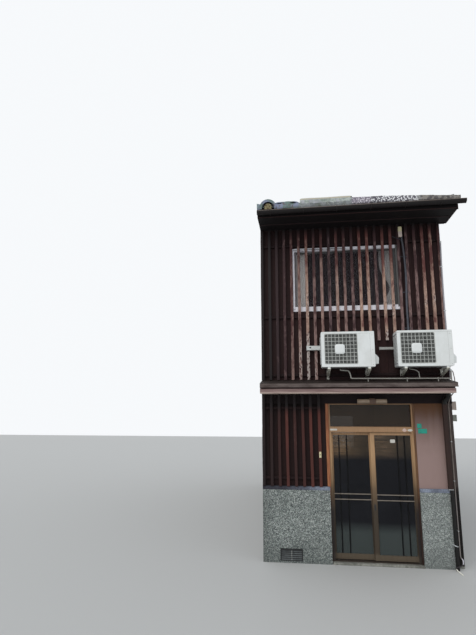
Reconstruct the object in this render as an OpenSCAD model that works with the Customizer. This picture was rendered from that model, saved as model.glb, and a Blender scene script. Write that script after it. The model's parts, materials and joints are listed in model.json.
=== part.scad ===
// Narrow timber-lattice townhouse of two storeys, in millimetres.
// X runs to the right along the street front, Y runs back into the house, Z is up.
// The origin lies under the street front's wall face, on the ground, at the middle of the frontage.

/* [House] */
// Width of the house over its party walls
house_w = 2850; // [2850:10:3200]
// Depth from the street wall's outer face to the rear wall's outer face
house_d = 7400; // [5500:100:9000]
// Thickness of every outer wall
wall_t = 120; // [110:5:150]
// Thickness of the ground floor slab
slab_t = 30; // [20:5:40]
// Top of the upper floor's boards
upper_floor_z = 2740; // [2620:10:2800]
// Thickness of the upper floor with its joists
upper_floor_t = 160; // [100:10:200]

/* [Street front, ground floor] */
// Top of the chip-rendered dado
dado_z = 1076; // [900:2:1100]
// How far the dado stands out from the boards above it
dado_out = 60; // [50:5:90]
// Height of the dado's cap
dado_cap_h = 50; // [30:5:70]
// Underside of the lintel beam
lintel_z = 2300; // [2240:5:2320]
// Depth of the lintel beam
lintel_h = 140; // [120:5:145]
// Left edge of the door frame
door_x0 = -405; // [-430:5:-390]
// Right edge of the door frame
door_x1 = 848; // [820:2:860]
// Top of the opening for the sliding doors
door_z = 1870; // [1800:5:1900]
// Thickness of a sliding door
leaf_t = 30; // [26:1:34]
// Width of the front door's stile where the doors meet
stile_w = 62; // [50:2:70]

/* [Lattices] */
// Width of a slat
slat_w = 44; // [36:1:50]
// Depth of a slat
slat_d = 35; // [24:1:40]
// Number of slats across the upper floor
slat_count = 24; // [20:1:28]
// Number of slats beside the door, and of full-length ones above
long_slats = 8; // [7:1:8]
// Lower end of the short slats above the outdoor units
short_slat_z = 3268; // [3100:2:3400]

/* [Ledge between the storeys] */
// How far the ledge stands out
ledge_out = 430; // [380:10:520]
// Underside of the ledge
ledge_z = 2448; // [2445:1:2460]
// Height of the ledge's front board
ledge_h = 68; // [50:2:80]

/* [Street front, upper floor] */
// Left edge of the upper window
window_x0 = -920; // [-950:1:-880]
// Width of the upper window
window_w = 1696; // [1500:2:1720]
// Sill of the upper window
window_z = 3763; // [3730:1:3780]
// Height of the upper window
window_h = 1060; // [900:5:1080]
// Width of an outdoor unit
unit_w = 782; // [740:1:790]
// Height of an outdoor unit
unit_h = 528; // [500:1:560]
// Depth of an outdoor unit
unit_d = 285; // [260:5:300]
// Underside of the outdoor units
unit_z = 2836; // [2830:1:2860]
// Left edges of the outdoor units
unit_x = [-497, 610];

/* [Roof] */
// Slope of the roof in degrees
roof_a = 20.5; // [18:0.5:22]
// Overhang of the eaves, out to the tiles' edge
eave_out = 680; // [600:10:720]
// Overhang of the roof at the right-hand verge
verge_out = 138; // [80:2:150]
// Underside of the rafters at the outer wall face
rafter_z = 5445; // [5420:1:5480]
// Underside of the boxed eaves
soffit_z = 5150; // [5100:5:5160]
// Radius of the eaves gutters
gutter_r = 55; // [45:1:60]

/* [Hidden] */
$fn = 48;

// Gap left between sloped layers that lie on each other
fit = 0.5;

half_w = house_w / 2;
half_d = house_d / 2;
in_x = half_w - wall_t;
in_y = house_d - wall_t;
rise = tan(roof_a);
window_x1 = window_x0 + window_w;
window_top = window_z + window_h;

// Sliding doors: the right leaf runs in the front track and the left leaf behind it
jamb_w = 22;
head_h = 85;
frame_d = 100;
post_w = 46;
casing_w = 24;
track_y = 22;
leaf_gap = 6;
leaf_play = 5;
leaf_lap = 37;
edge_stile_w = 26;
rear_stile_w = 46;
slim_stile_w = 16;
top_rail = 31;
bottom_rail = 74;
leaf_x0 = door_x0 + jamb_w + leaf_play;
leaf_x1 = door_x1 - jamb_w - leaf_play;
leaf_w = (leaf_x1 - leaf_x0 + leaf_lap) / 2;
leaf_z0 = slab_t + 20;
leaf_z1 = door_z - leaf_play;
transom_z = door_z + head_h;

// Lattice slats, counted from the left corner of the house
lattice_back = 40;
slat_x0 = -half_w + slat_w / 2 + 1;
slat_pitch = -2 * slat_x0 / (slat_count - 1);
// Sideways shift of an upper slat by its number: that row isn't spaced quite evenly
slat_shift = [[1, 0], [4, -12], [11, -17], [16, -12], [22, -8], [23, 0]];

// The ledge's sheet cap slopes gently to the street
cap_slope = 0.15;
cap_t = 64;
cap_lip = 25;
groove_h = 22;
cap_z = ledge_z + ledge_h + groove_h;

// Roof layers, measured square to the slope
rafter_h = 62;
rafter_w = 45;
rafter_count = 9;
board_t = 26;
tile_t = 30;
tile_wave = 26;
tile_w = 265;
roof_x0 = -half_w;
roof_x1 = half_w + verge_out;
box_out = eave_out - 60;
ridge_gap = 2;
verge_t = 26;

// Solid from one corner to the other
module slab(low, high) {
    translate(low) cube(high - low);
}

// Round bar along X
module pipe_x(x0, x1, y, z, r) {
    translate([x0, y, z]) rotate([0, 90, 0]) cylinder(h = x1 - x0, r = r);
}

// Upright round bar
module pipe_z(x, y, z0, z1, r) {
    translate([x, y, z0]) cylinder(h = z1 - z0, r = r);
}

// Round bar from one point to another in a plane across X
module pipe_yz(x, p, q, r) {
    d = q - p;
    translate([x, p[0], p[1]]) rotate([-atan2(d[0], d[1]), 0, 0]) cylinder(h = norm(d), r = r);
}

// Rectangle with round corners, its lower left corner at the origin
module round_rect(w, h, r) {
    translate([r, 0]) square([w - 2 * r, h]);
    translate([0, r]) square([w, h - 2 * r]);
    for (x = [r, w - r], y = [r, h - r]) translate([x, y]) circle(r);
}

// Side profile drawn in Y and Z, carried from x0 to x1
module along_x(x0, x1) {
    translate([x0, 0, 0]) rotate([90, 0, 90]) linear_extrude(x1 - x0) children();
}

// Front profile drawn in X and Z, carried from y0 back to y1
module along_y(y0, y1) {
    translate([0, y1, 0]) rotate([90, 0, 0]) linear_extrude(y1 - y0) children();
}

// Turns what is drawn for the street side to the rear side
module at_rear() {
    translate([0, house_d, 0]) mirror([0, 1, 0]) children();
}

module both_sides() {
    children();
    at_rear() children();
}

// Height of the rafters' underside at a distance y behind the street wall's face
function rafter_at(y) = rafter_z + y * rise;

// The same for a layer that lies n millimetres above it, measured square to the slope
function layer_at(y, n) = rafter_at(y) + n / cos(roof_a);

// Side profile of a layer on the front slope
module slope_profile(low, high, y0, y1) {
    polygon([[y0, layer_at(y0, low)], [y1, layer_at(y1, low)], [y1, layer_at(y1, high)], [y0, layer_at(y0, high)]]);
}

// Ground and floors

module foundation() color("darkgray") {
    slab([-half_w, 0, 0], [half_w, house_d, slab_t]);
    slab([door_x0, -dado_out - 10, 0], [door_x1 + casing_w, 0, slab_t]);
}

module upper_floor() color("burlywood") {
    slab([-in_x, wall_t, upper_floor_z - upper_floor_t], [in_x, in_y, upper_floor_z]);
}

// Walls

module party_wall(x0) {
    along_x(x0, x0 + wall_t) polygon([[wall_t, slab_t], [in_y, slab_t], [in_y, rafter_at(wall_t) - fit],
        [half_d, rafter_at(half_d) - fit], [wall_t, rafter_at(wall_t) - fit]]);
}

module left_party_wall() color("gray") party_wall(-half_w);
module right_party_wall() color("gray") party_wall(half_w - wall_t);

module board_wall() color([0.14, 0.10, 0.10]) {
    slab([-half_w, 0, slab_t], [door_x0 - post_w, wall_t, lintel_z]);
}

plaster_x1 = 1345;
plaster_out = 25;

module plaster_wall() color([0.50, 0.44, 0.43]) {
    slab([door_x1 + casing_w, 0, slab_t], [plaster_x1, wall_t, lintel_z]);
    slab([door_x1 + casing_w, -plaster_out, dado_z], [plaster_x1, 0, lintel_z]);
}

module corner_post() color([0.36, 0.31, 0.30]) {
    slab([plaster_x1, 0, slab_t], [half_w, wall_t, lintel_z]);
    slab([plaster_x1, -38, dado_z + 30], [plaster_x1 + 52, 0, lintel_z]);
}

cap_round = 18;

// Dado with a cap whose street edge is rounded
module dado(x0, x1) {
    slab([x0, -dado_out, 0], [x1, 0, dado_z - dado_cap_h]);
    along_x(x0, x1) {
        translate([-dado_out - 6, dado_z - dado_cap_h]) square([dado_out + 6, dado_cap_h - cap_round]);
        translate([-dado_out - 6 + cap_round, dado_z - cap_round]) square([dado_out + 6 - cap_round, cap_round]);
        translate([-dado_out - 6 + cap_round, dado_z - cap_round]) circle(cap_round);
    }
}

// Vent through the left dado
vent_x = -1171;
vent_z = 25;
vent_w = 330;
vent_h = 175;
vent_depth = 35;
vent_rim = 14;
vent_bars = 6;

module dado_left() color([0.52, 0.54, 0.50]) difference() {
    dado(-half_w, door_x0 - 12);
    slab([vent_x, -dado_out - 1, vent_z], [vent_x + vent_w, -dado_out + vent_depth, vent_z + vent_h]);
}

module dado_right() color([0.52, 0.54, 0.50]) dado(door_x1 + casing_w, plaster_x1 - 5);

module vent_grille() color([0.2, 0.2, 0.2]) {
    back = -dado_out + vent_depth;
    difference() {
        slab([vent_x, back - 22, vent_z], [vent_x + vent_w, back, vent_z + vent_h]);
        slab([vent_x + vent_rim, back - 23, vent_z + vent_rim],
            [vent_x + vent_w - vent_rim, back - 4, vent_z + vent_h - vent_rim]);
    }
    for (i = [0:vent_bars - 1]) {
        z = vent_z + vent_rim + (i + 0.5) * (vent_h - 2 * vent_rim) / vent_bars;
        slab([vent_x + vent_rim, back - 18, z - 5], [vent_x + vent_w - vent_rim, back - 4, z + 5]);
    }
}

module door_posts() color([0.45, 0.25, 0.16]) {
    slab([door_x0 - post_w, 0, slab_t], [door_x0, wall_t, lintel_z]);
    slab([door_x0 - post_w, -18, dado_z], [door_x0, 0, lintel_z]);
    slab([door_x1, -18, slab_t], [door_x1 + casing_w, wall_t, lintel_z]);
}

module lintel_beam() color([0.14, 0.10, 0.10]) {
    slab([-half_w, -plaster_out, lintel_z], [half_w, wall_t, lintel_z + lintel_h]);
}

// Wall of the upper storey with its window cut through, its top cut to the roof's slope
module upper_wall() {
    difference() {
        along_x(-half_w, half_w) polygon([[0, lintel_z + lintel_h], [wall_t, lintel_z + lintel_h],
            [wall_t, rafter_at(wall_t) - fit], [0, rafter_at(0) - fit]]);
        slab([window_x0, -1, window_z], [window_x1, wall_t + 1, window_top]);
    }
}

module front_wall_upper() color([0.12, 0.09, 0.09]) upper_wall();
module rear_wall_upper() color([0.12, 0.09, 0.09]) at_rear() upper_wall();

// The rear window of the ground floor repeats the upper one's size
rear_window_z = 1000;

module rear_wall_lower() color([0.50, 0.44, 0.43]) at_rear() difference() {
    slab([-half_w, 0, slab_t], [half_w, wall_t, lintel_z + lintel_h]);
    slab([window_x0, -1, rear_window_z], [window_x1, wall_t + 1, rear_window_z + window_h]);
}

// Entrance

lip_w = 12;
frame_top = 13;

module door_frame() color([0.55, 0.42, 0.30]) {
    for (x = [door_x0, door_x1 - jamb_w]) slab([x, 0, slab_t], [x + jamb_w, frame_d, lintel_z]);
    slab([door_x0 + jamb_w, 0, door_z], [door_x1 - jamb_w, frame_d, transom_z]);
    slab([door_x0 + jamb_w, 0, lintel_z - frame_top], [door_x1 - jamb_w, frame_d, lintel_z]);
    slab([door_x0 + jamb_w, 0, slab_t], [door_x1 - jamb_w, frame_d, slab_t + 12]);
    // Lips in front of the leaves, which hide the gaps beside them
    for (x = [door_x0 + jamb_w, door_x1 - jamb_w - lip_w])
        slab([x, 0, slab_t + 12], [x + lip_w, 12, door_z]);
}

module transom_glass() color([0.12, 0.13, 0.15]) {
    slab([door_x0 + jamb_w, 46, transom_z], [door_x1 - jamb_w, 52, lintel_z - frame_top]);
}

left_x = leaf_x0;
right_x = leaf_x1 - leaf_w;
back_y = track_y + leaf_t + leaf_gap;
glass_x0 = [left_x + edge_stile_w, right_x + stile_w];
glass_w = [leaf_w - edge_stile_w - rear_stile_w, leaf_w - stile_w - slim_stile_w];
glass_z0 = leaf_z0 + bottom_rail;
glass_z1 = leaf_z1 - top_rail;
bar_w = 17;
// Heights of the pair of crossbars, and the upright bars' places from the glass's left edge
bar_z = [886, 965];
left_bars = [95, 210];
right_bars = [337, 442];

// Frame of a sliding leaf, from its two stiles' widths
module leaf(x0, y0, left_w, right_w) {
    x1 = x0 + leaf_w;
    y1 = y0 + leaf_t;
    slab([x0, y0, leaf_z0], [x0 + left_w, y1, leaf_z1]);
    slab([x1 - right_w, y0, leaf_z0], [x1, y1, leaf_z1]);
    slab([x0 + left_w, y0, leaf_z0], [x1 - right_w, y1, glass_z0]);
    slab([x0 + left_w, y0, glass_z1], [x1 - right_w, y1, leaf_z1]);
}

// Thin bars on the street face of a leaf's glass
module leaf_bars(x0, y0, w, bars) {
    y = y0 + leaf_t / 2 - 3;
    for (b = bars) slab([x0 + b - bar_w / 2, y - 9, glass_z0], [x0 + b + bar_w / 2, y, glass_z1]);
    for (z = bar_z) slab([x0, y - 9, z - bar_w / 2], [x0 + w, y, z + bar_w / 2]);
}

module leaf_glass(x0, y0, w) {
    y = y0 + leaf_t / 2 - 3;
    slab([x0, y, glass_z0], [x0 + w, y + 6, glass_z1]);
}

module left_door() color([0.52, 0.40, 0.28]) {
    leaf(left_x, back_y, edge_stile_w, rear_stile_w);
    leaf_bars(glass_x0[0], back_y, glass_w[0], left_bars);
}

module right_door() color([0.52, 0.40, 0.28]) {
    leaf(right_x, track_y, stile_w, slim_stile_w);
    leaf_bars(glass_x0[1], track_y, glass_w[1], right_bars);
}

module left_door_glass() color([0.12, 0.14, 0.14]) leaf_glass(glass_x0[0], back_y, glass_w[0]);
module right_door_glass() color([0.12, 0.14, 0.14]) leaf_glass(glass_x0[1], track_y, glass_w[1]);

module door_lock() color([0.25, 0.2, 0.18]) {
    slab([right_x + 20, track_y - 7, 745], [right_x + 44, track_y, 830]);
}

// Lattices

function slat_x(i) = slat_x0 + i * slat_pitch;

module slat(x, z0, z1) {
    slab([x - slat_w / 2, -lattice_back - slat_d, z0], [x + slat_w / 2, -lattice_back, z1]);
}

// Flat rail behind the slats, from the left corner to the last slat's edge
module lattice_rail(z, last) {
    slab([slat_x(0) - slat_w / 2, -lattice_back, z - 20], [slat_x(last) + slat_w / 2, 0, z + 20]);
}

lower_rails = [1195, 2235];
upper_rails = [2742, 3672, 4868];

module lower_lattice() color([0.28, 0.17, 0.17]) {
    for (i = [0:long_slats - 1]) slat(slat_x(i), dado_z, ledge_z);
    for (z = lower_rails) lattice_rail(z, long_slats - 1);
}

module upper_lattice() color([0.30, 0.19, 0.18]) {
    for (i = [0:slat_count - 1])
        slat(slat_x(i) + lookup(i, slat_shift), i < long_slats ? cap_top(0) : short_slat_z, soffit_z);
    for (z = upper_rails) lattice_rail(z, slat_count - 1);
}

// Windows

frame_w = 36;
sash_w = 40;
sash_t = 22;
sash_foot = 70;
sash_head = 45;

// Aluminium frame with two sliding sashes, the right one on the outer track
module sliding_window(x0, z0, w, h) {
    difference() {
        slab([x0, -18, z0], [x0 + w, 82, z0 + h]);
        slab([x0 + frame_w, -19, z0 + frame_w], [x0 + w - frame_w, 83, z0 + h - frame_w]);
    }
    half = sash_width(w);
    for (s = [0, 1]) {
        x = x0 + frame_w + s * (w - 2 * frame_w - half);
        y = sash_y(s);
        difference() {
            slab([x, y, z0 + frame_w], [x + half, y + sash_t, z0 + h - frame_w]);
            slab([x + sash_w, y - 1, z0 + sash_foot], [x + half - sash_w, y + sash_t + 1, z0 + h - frame_w - sash_head]);
        }
    }
}

function sash_width(w) = (w - 2 * frame_w + sash_w) / 2;
function sash_y(s) = s == 1 ? 8 : 8 + sash_t;

module sash_glass(x0, z0, w, h) {
    half = sash_width(w);
    for (s = [0, 1]) {
        x = x0 + frame_w + s * (w - 2 * frame_w - half);
        y = sash_y(s) + sash_t / 2;
        slab([x + sash_w, y - 3, z0 + sash_foot], [x + half - sash_w, y + 3, z0 + h - frame_w - sash_head]);
    }
}

module upper_window() color([0.78, 0.78, 0.80]) sliding_window(window_x0, window_z, window_w, window_h);
module upper_window_glass() color([0.12, 0.14, 0.14]) sash_glass(window_x0, window_z, window_w, window_h);

module rear_windows() color([0.78, 0.78, 0.80]) at_rear()
    for (z = [rear_window_z, window_z]) sliding_window(window_x0, z, window_w, window_h);

module rear_window_glass() color([0.12, 0.14, 0.14]) at_rear()
    for (z = [rear_window_z, window_z]) sash_glass(window_x0, z, window_w, window_h);

curtain_y = wall_t + 50;
curtain_z = window_top + 40;
fold_d = 70;
// Left edge and width of each gathered curtain
curtain_x = [[window_x0 + 60, 162], [window_x1 - 270, 250]];

module curtain_rail() color("white") {
    slab([window_x0 - 60, curtain_y - 12, curtain_z], [window_x1 + 60, curtain_y + 12, curtain_z + 22]);
    for (x = [window_x0 - 40, window_x1 + 20])
        slab([x, wall_t, curtain_z], [x + 20, curtain_y - 12, curtain_z + 22]);
}

module curtains() color("lightgray") for (c = curtain_x)
    slab([c[0], curtain_y - fold_d / 2, window_z - 80], [c[0] + c[1], curtain_y + fold_d / 2, curtain_z]);

// Ledge

ledge_x1 = half_w - 46;
cap_x1 = half_w - 22;
ledge_setback = 34;

// Underside and top of the cap at a distance y behind the wall face
function cap_under(y) = cap_z + (y + ledge_out) * cap_slope;
function cap_top(y) = cap_under(y) + cap_t;

module ledge() color([0.50, 0.43, 0.41]) along_x(-half_w, ledge_x1)
    polygon([[-ledge_out, ledge_z], [0, ledge_z], [0, cap_under(0)],
        [-ledge_out + ledge_setback, cap_under(-ledge_out + ledge_setback)],
        [-ledge_out + ledge_setback, ledge_z + ledge_h], [-ledge_out, ledge_z + ledge_h]]);

module ledge_cap() color([0.46, 0.43, 0.42]) along_x(-half_w, cap_x1) {
    y = -ledge_out - cap_lip;
    polygon([[y, cap_under(y)], [0, cap_under(0)], [0, cap_top(0)], [y, cap_top(y)]]);
}

// Outdoor units

unit_y = -400;
grille_w = 488;
grille_h = 458;
grille_x = 47;
grille_z = 40;
hub_s = 148;
hub_x = 274;
hub_z = 264;
fan_r = 205;
fan_depth = 90;
foot_x = [88, 676];
foot_w = 40;
foot_h = 22;

module aircon(x0) translate([x0, 0, unit_z]) {
    difference() {
        along_y(unit_y, unit_y + unit_d) round_rect(unit_w, unit_h, 14);
        along_y(unit_y - 1, unit_y + 22) translate([grille_x, grille_z]) round_rect(grille_w, grille_h, 20);
        along_y(unit_y - 1, unit_y + fan_depth) translate([hub_x + 10, hub_z]) circle(fan_r);
    }
    // Three fan blades and their hub, in the well behind the grille
    translate([hub_x + 10, unit_y + fan_depth, hub_z]) rotate([90, 0, 0]) {
        cylinder(h = 44, r = 58);
        for (a = [0:120:359]) rotate(a) translate([40, -60, 8]) cube([fan_r - 52, 120, 14]);
    }
    // Cover over the valves, with its top cut off at a slant
    along_y(unit_y + 100, unit_y + 235) polygon([[unit_w, 40], [unit_w + 62, 52], [unit_w + 68, 140],
        [unit_w + 30, 188], [unit_w, 200]]);
    for (x = foot_x) slab([x, unit_y + 10, -foot_h], [x + foot_w, unit_y + unit_d, 0]);
}

module aircon_left() color([0.82, 0.83, 0.80]) aircon(unit_x[0]);
module aircon_right() color([0.82, 0.83, 0.80]) aircon(unit_x[1]);

grille_rows = 9;
wire = 4;

// Wire grille in a thin rim, with a plain square plate before the fan's hub
module aircon_grilles() color([0.70, 0.71, 0.69]) for (x0 = unit_x)
    translate([x0, 0, unit_z]) {
        along_y(unit_y + 2, unit_y + 14) translate([grille_x, grille_z]) difference() {
            round_rect(grille_w, grille_h, 20);
            translate([10, 10]) round_rect(grille_w - 20, grille_h - 20, 14);
        }
        for (i = [1:grille_rows]) {
            x = grille_x + i * grille_w / (grille_rows + 1) - wire / 2;
            z = grille_z + i * grille_h / (grille_rows + 1) - wire / 2;
            slab([x, unit_y + 4, grille_z + 5], [x + wire, unit_y + 10, grille_z + grille_h - 5]);
            slab([grille_x + 5, unit_y + 4, z], [grille_x + grille_w - 5, unit_y + 10, z + wire]);
        }
        along_y(unit_y - 4, unit_y + 10) translate([hub_x - hub_s / 2, hub_z - hub_s / 2]) round_rect(hub_s, hub_s, 32);
    }

arm_z = unit_z - foot_h;
leg_z = 2672;
brace_z = 2722;

// Each bracket has an arm under the unit, a leg on the wall and a brace between them
module aircon_brackets() color([0.75, 0.76, 0.76]) for (x0 = unit_x, dx = foot_x) {
    x = x0 + dx;
    slab([x, unit_y + 5, arm_z - 6], [x + foot_w, -6, arm_z]);
    slab([x, -6, leg_z], [x + foot_w, 0, upper_rails[0] - 20]);
    slab([x, -lattice_back - 6, upper_rails[0] - 20], [x + foot_w, -lattice_back, arm_z]);
    slab([x, -lattice_back, upper_rails[0] + 20], [x + foot_w, -6, upper_rails[0] + 26]);
    slab([x, -lattice_back - 6, upper_rails[0] - 26], [x + foot_w, 0, upper_rails[0] - 20]);
    along_x(x, x + 6) polygon([[unit_y + 20, arm_z - 6], [-lattice_back - 6, brace_z - 12],
        [-lattice_back - 6, brace_z + 12], [unit_y + 60, arm_z - 6]]);
}

// Left end, right end, underside and height of each slim duct beside a unit
ducts = [[-712, -480, 3121, 74], [397, 640, 3114, 44]];

module duct_covers() color([0.85, 0.86, 0.85]) for (d = ducts)
    slab([d[0], -112, d[2]], [d[1], -lattice_back - slat_d, d[2] + d[3]]);

drain_y = -300;
drain_z = 2664;
drain_r = 9;
drain_x = [-80, 1365];
hose_x = 1352;
hose_y = -88;
hose_r = 7;
hose_bend = 40;

module drain_pipe() color([0.72, 0.74, 0.74]) {
    pipe_x(drain_x[0], drain_x[1], drain_y, drain_z, drain_r);
    pipe_z(drain_x[1], drain_y, cap_top(drain_y + drain_r), 2790, drain_r);
    // Clips that hold the run on the ledge
    for (x = [180, 740, 1180])
        slab([x - 6, drain_y - 4, cap_top(drain_y + 4)], [x + 6, drain_y + 4, drain_z + 20]);
    // The thin tail below the ledge, with its foot turned out
    pipe_z(hose_x, hose_y, hose_bend + hose_r, ledge_z, hose_r);
    translate([hose_x + hose_bend, hose_y, hose_bend + hose_r]) rotate([90, 0, 0]) rotate([0, 0, 180])
        rotate_extrude(angle = 90) translate([hose_bend, 0]) circle(hose_r);
}

slat_face = -lattice_back - slat_d;
conduit_r = 10;
corner_x = half_w + 12;
corner_y = slat_face + conduit_r - 2;

// Conduits up the lattice, the junction box over one of them, and two boxes on the side wall
module wall_conduits() color([0.40, 0.38, 0.36]) {
    pipe_z(846, slat_face - conduit_r, 3200, 4925, conduit_r);
    slab([789, slat_face - 43, 4920], [842, slat_face, 5090]);
    pipe_z(corner_x, corner_y, ledge_z + 212, 4800, conduit_r);
    pipe_z(corner_x, corner_y, 4800, 4826, conduit_r + 2);
    // Clips back to the last slat
    for (z = [3000, 3700, 4400]) slab([half_w - 10, slat_face - 4, z], [corner_x, slat_face, z + 16]);
    slab([half_w, 10, 2206], [half_w + 66, 90, 2330]);
    slab([half_w, 10, 2040], [half_w + 60, 80, 2133]);
}

// Roof

soffit_t = 16;
fascia_t = 18;

// Flat soffit and front board of the boxed eaves, and the board that closes the box beyond the wall
module soffits() color([0.10, 0.07, 0.07]) both_sides() {
    slab([roof_x0, -box_out, soffit_z], [roof_x1 - verge_t, 0, soffit_z + soffit_t]);
    slab([roof_x0, -box_out, soffit_z + soffit_t],
        [roof_x1 - verge_t, -box_out + fascia_t, rafter_at(-box_out) - fit]);
    slab([half_w, 0, soffit_z], [roof_x1 - verge_t, fascia_t, rafter_at(0) - fit]);
}

module rafters() color([0.10, 0.07, 0.07]) both_sides() for (i = [0:rafter_count - 1]) {
    x0 = roof_x0 + verge_t;
    x = x0 + i * (roof_x1 - verge_t - 2 - rafter_w - x0) / (rafter_count - 1);
    along_x(x, x + rafter_w) slope_profile(0, rafter_h - fit, -box_out, half_d - ridge_gap);
}

module roof_boards() color([0.14, 0.10, 0.09]) both_sides()
    along_x(roof_x0, roof_x1) slope_profile(rafter_h, rafter_h + board_t - fit, -box_out - 25, half_d - ridge_gap);

verge_drop = 80;
box_y = -box_out + fascia_t;

// Boards that close the roof's sides and the ends of the eaves' box: flush on the left, hanging on the right
module verge_boards() color([0.10, 0.07, 0.07]) both_sides() {
    along_x(roof_x0, roof_x0 + verge_t - 1) {
        slope_profile(0, rafter_h - fit, box_y, half_d - ridge_gap);
        polygon([[box_y, soffit_z + soffit_t], [0, soffit_z + soffit_t], [0, rafter_at(0)], [box_y, rafter_at(box_y)]]);
    }
    along_x(roof_x1 - verge_t, roof_x1) {
        slope_profile(-verge_drop, rafter_h - fit, -box_out, half_d - ridge_gap);
        polygon([[-box_out, soffit_z], [0, soffit_z], [200, rafter_at(200) - verge_drop],
            [0, rafter_at(0)], [-box_out, rafter_at(-box_out)]]);
    }
}

tile_base = rafter_h + board_t;
tile_count = floor((roof_x1 - roof_x0) / tile_w);
tile_pitch = (roof_x1 - roof_x0) / tile_count;
wave_steps = 12;
lip_z = 5250;
lip_t = 20;

// Cross-section of a run of pantiles: flat below, a wave above
module tile_wave_profile() {
    polygon(concat([[roof_x1 - roof_x0, 0], [0, 0]], [for (i = [0:tile_count * wave_steps])
        [i * tile_pitch / wave_steps, tile_t + tile_wave / 2 * (1 + cos(360 * i / wave_steps))]]));
}

// Carries a cross-section drawn in X and in height above the roof boards up the front slope
module up_slope(y0, y1) {
    translate([0, y0, layer_at(y0, tile_base)]) rotate([roof_a, 0, 0])
        rotate([90, 0, 0]) mirror([0, 0, 1]) linear_extrude((y1 - y0) / cos(roof_a)) children();
}

tile_crest = tile_t + tile_wave;
// Raised stretches of the eaves: where they begin, where they end and how far they rise above the tiles' troughs.
// The left one was bedded again in mortar, and the one beside it is of thicker tiles.
raised = [[-760, 16, 78], [16, 740, 52]];
raised_run = 460;
// Round roll of tiles up the left side, its middle a little below the top of the roof boards
roll_r = 132;
roll_x = roof_x0 + 172;
roll_h = -6;
roll_start = 20;
roll_end = 120;

// One slope of pantiles with its roll, and with the eaves tiles' lip hanging in front of the roof boards
module tile_slope() difference() {
    union() {
        up_slope(-eave_out, half_d + 100) translate([roof_x0, 0]) tile_wave_profile();
        slab([roof_x0, -eave_out - 10, lip_z],
            [roof_x1, -eave_out + lip_t - 10, layer_at(-eave_out, tile_base + tile_t)]);
        up_slope(-eave_out - roll_start, half_d - roll_end) translate([roll_x, roll_h]) difference() {
            circle(roll_r);
            translate([-roll_r, -roll_r]) square([2 * roll_r, roll_r - roll_h]);
        }
    }
    slab([roof_x0 - 1, half_d - fit, lip_z], [roof_x1 + 1, house_d, lip_z + 3000]);
}

module front_tiles() color([0.55, 0.57, 0.55]) {
    tile_slope();
    for (s = raised) up_slope(-eave_out - 8, -eave_out + raised_run) translate([s[0], tile_t]) square([s[1] - s[0], s[2]]);
}

module rear_tiles() color([0.55, 0.57, 0.55]) at_rear() tile_slope();

ridge_base = layer_at(half_d, tile_base + tile_crest) + fit;
ridge_foot = 110;

// Ridge of stacked flat tiles under a round cap, on mortar that fills down to the pantiles
module ridge_tiles() color([0.50, 0.52, 0.52]) translate([0, half_d, 0]) along_x(roof_x0, roof_x1) {
    polygon([[-ridge_foot, ridge_base - ridge_foot * rise], [0, ridge_base], [ridge_foot, ridge_base - ridge_foot * rise],
        [ridge_foot, ridge_base + 60], [-ridge_foot, ridge_base + 60]]);
    translate([-80, ridge_base + 60]) square([160, 50]);
    translate([0, ridge_base + 105]) circle(72);
}

// Gutters and pipes

gutter_y = -eave_out - 14;
gutter_z = lip_z - 4;
gutter_x1 = 1652;
gutter_t = 4;
gutter_clips = 5;
// How far the gutters fall from their right end to their left end
gutter_fall = 25;
gutter_run = gutter_x1 - roof_x0;
gutter_turn = atan2(gutter_fall, gutter_run);

module gutters() color([0.10, 0.08, 0.08]) both_sides()
translate([gutter_x1, 0, gutter_z]) rotate([0, -gutter_turn, 0]) translate([-gutter_x1, 0, -gutter_z]) {
    difference() {
        pipe_x(roof_x0, gutter_x1, gutter_y, gutter_z, gutter_r);
        pipe_x(roof_x0 + gutter_t, gutter_x1 - gutter_t, gutter_y, gutter_z, gutter_r - gutter_t);
        slab([roof_x0 - 1, gutter_y - gutter_r - 1, gutter_z],
            [gutter_x1 + 1, gutter_y + gutter_r + 1, gutter_z + gutter_r + 1]);
    }
    // Clips from the eaves' front board to the gutter
    for (i = [0:gutter_clips - 1]) {
        x = roof_x0 + 150 + i * (house_w - 300) / (gutter_clips - 1);
        slab([x - 9, gutter_y + gutter_r - 3, gutter_z - 12], [x + 9, -box_out, gutter_z]);
    }
}

pipe_x0 = 1258;
pipe_w = 64;
rear_pipe_r = 30;
rear_pipe_x = 1330;
rear_pipe_y = -40;
rear_bend = [4900, 5080];
rear_pipe_top = gutter_z - gutter_r - gutter_fall * (gutter_x1 - rear_pipe_x + rear_pipe_r) / gutter_run - fit;

module downpipes() color([0.24, 0.18, 0.17]) {
    slab([pipe_x0, -dado_out - 64, dado_z + 4], [pipe_x0 + pipe_w, -dado_out - 10, ledge_z]);
    pipe_z(pipe_x0 + 46, -dado_out - 37, 0, dado_z + 4, 25);
    // Rear pipe: from the gutter, back to the wall, and down, with a ball of an elbow at each bend
    at_rear() {
        pipe_z(rear_pipe_x, gutter_y, rear_bend[1], rear_pipe_top, rear_pipe_r);
        pipe_yz(rear_pipe_x, [gutter_y, rear_bend[1]], [rear_pipe_y, rear_bend[0]], rear_pipe_r - 3);
        pipe_z(rear_pipe_x, rear_pipe_y, 0, rear_bend[0], rear_pipe_r);
        translate([rear_pipe_x, gutter_y, rear_bend[1]]) sphere(rear_pipe_r + 4);
        translate([rear_pipe_x, rear_pipe_y, rear_bend[0]]) sphere(rear_pipe_r + 4);
    }
}

// Fittings

module porch_lamp() color([0.55, 0.52, 0.48]) {
    slab([22, -190, 2293], [457, -110, 2368]);
    slab([199, -110, 2310], [297, -plaster_out, 2350]);
}

module doorbell() color([0.80, 0.76, 0.66]) {
    x = slat_x(long_slats - 1);
    slab([x - 16, -lattice_back - slat_d - 22, 1498], [x + 16, -lattice_back - slat_d, 1585]);
}

plate_t = 4;

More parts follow.
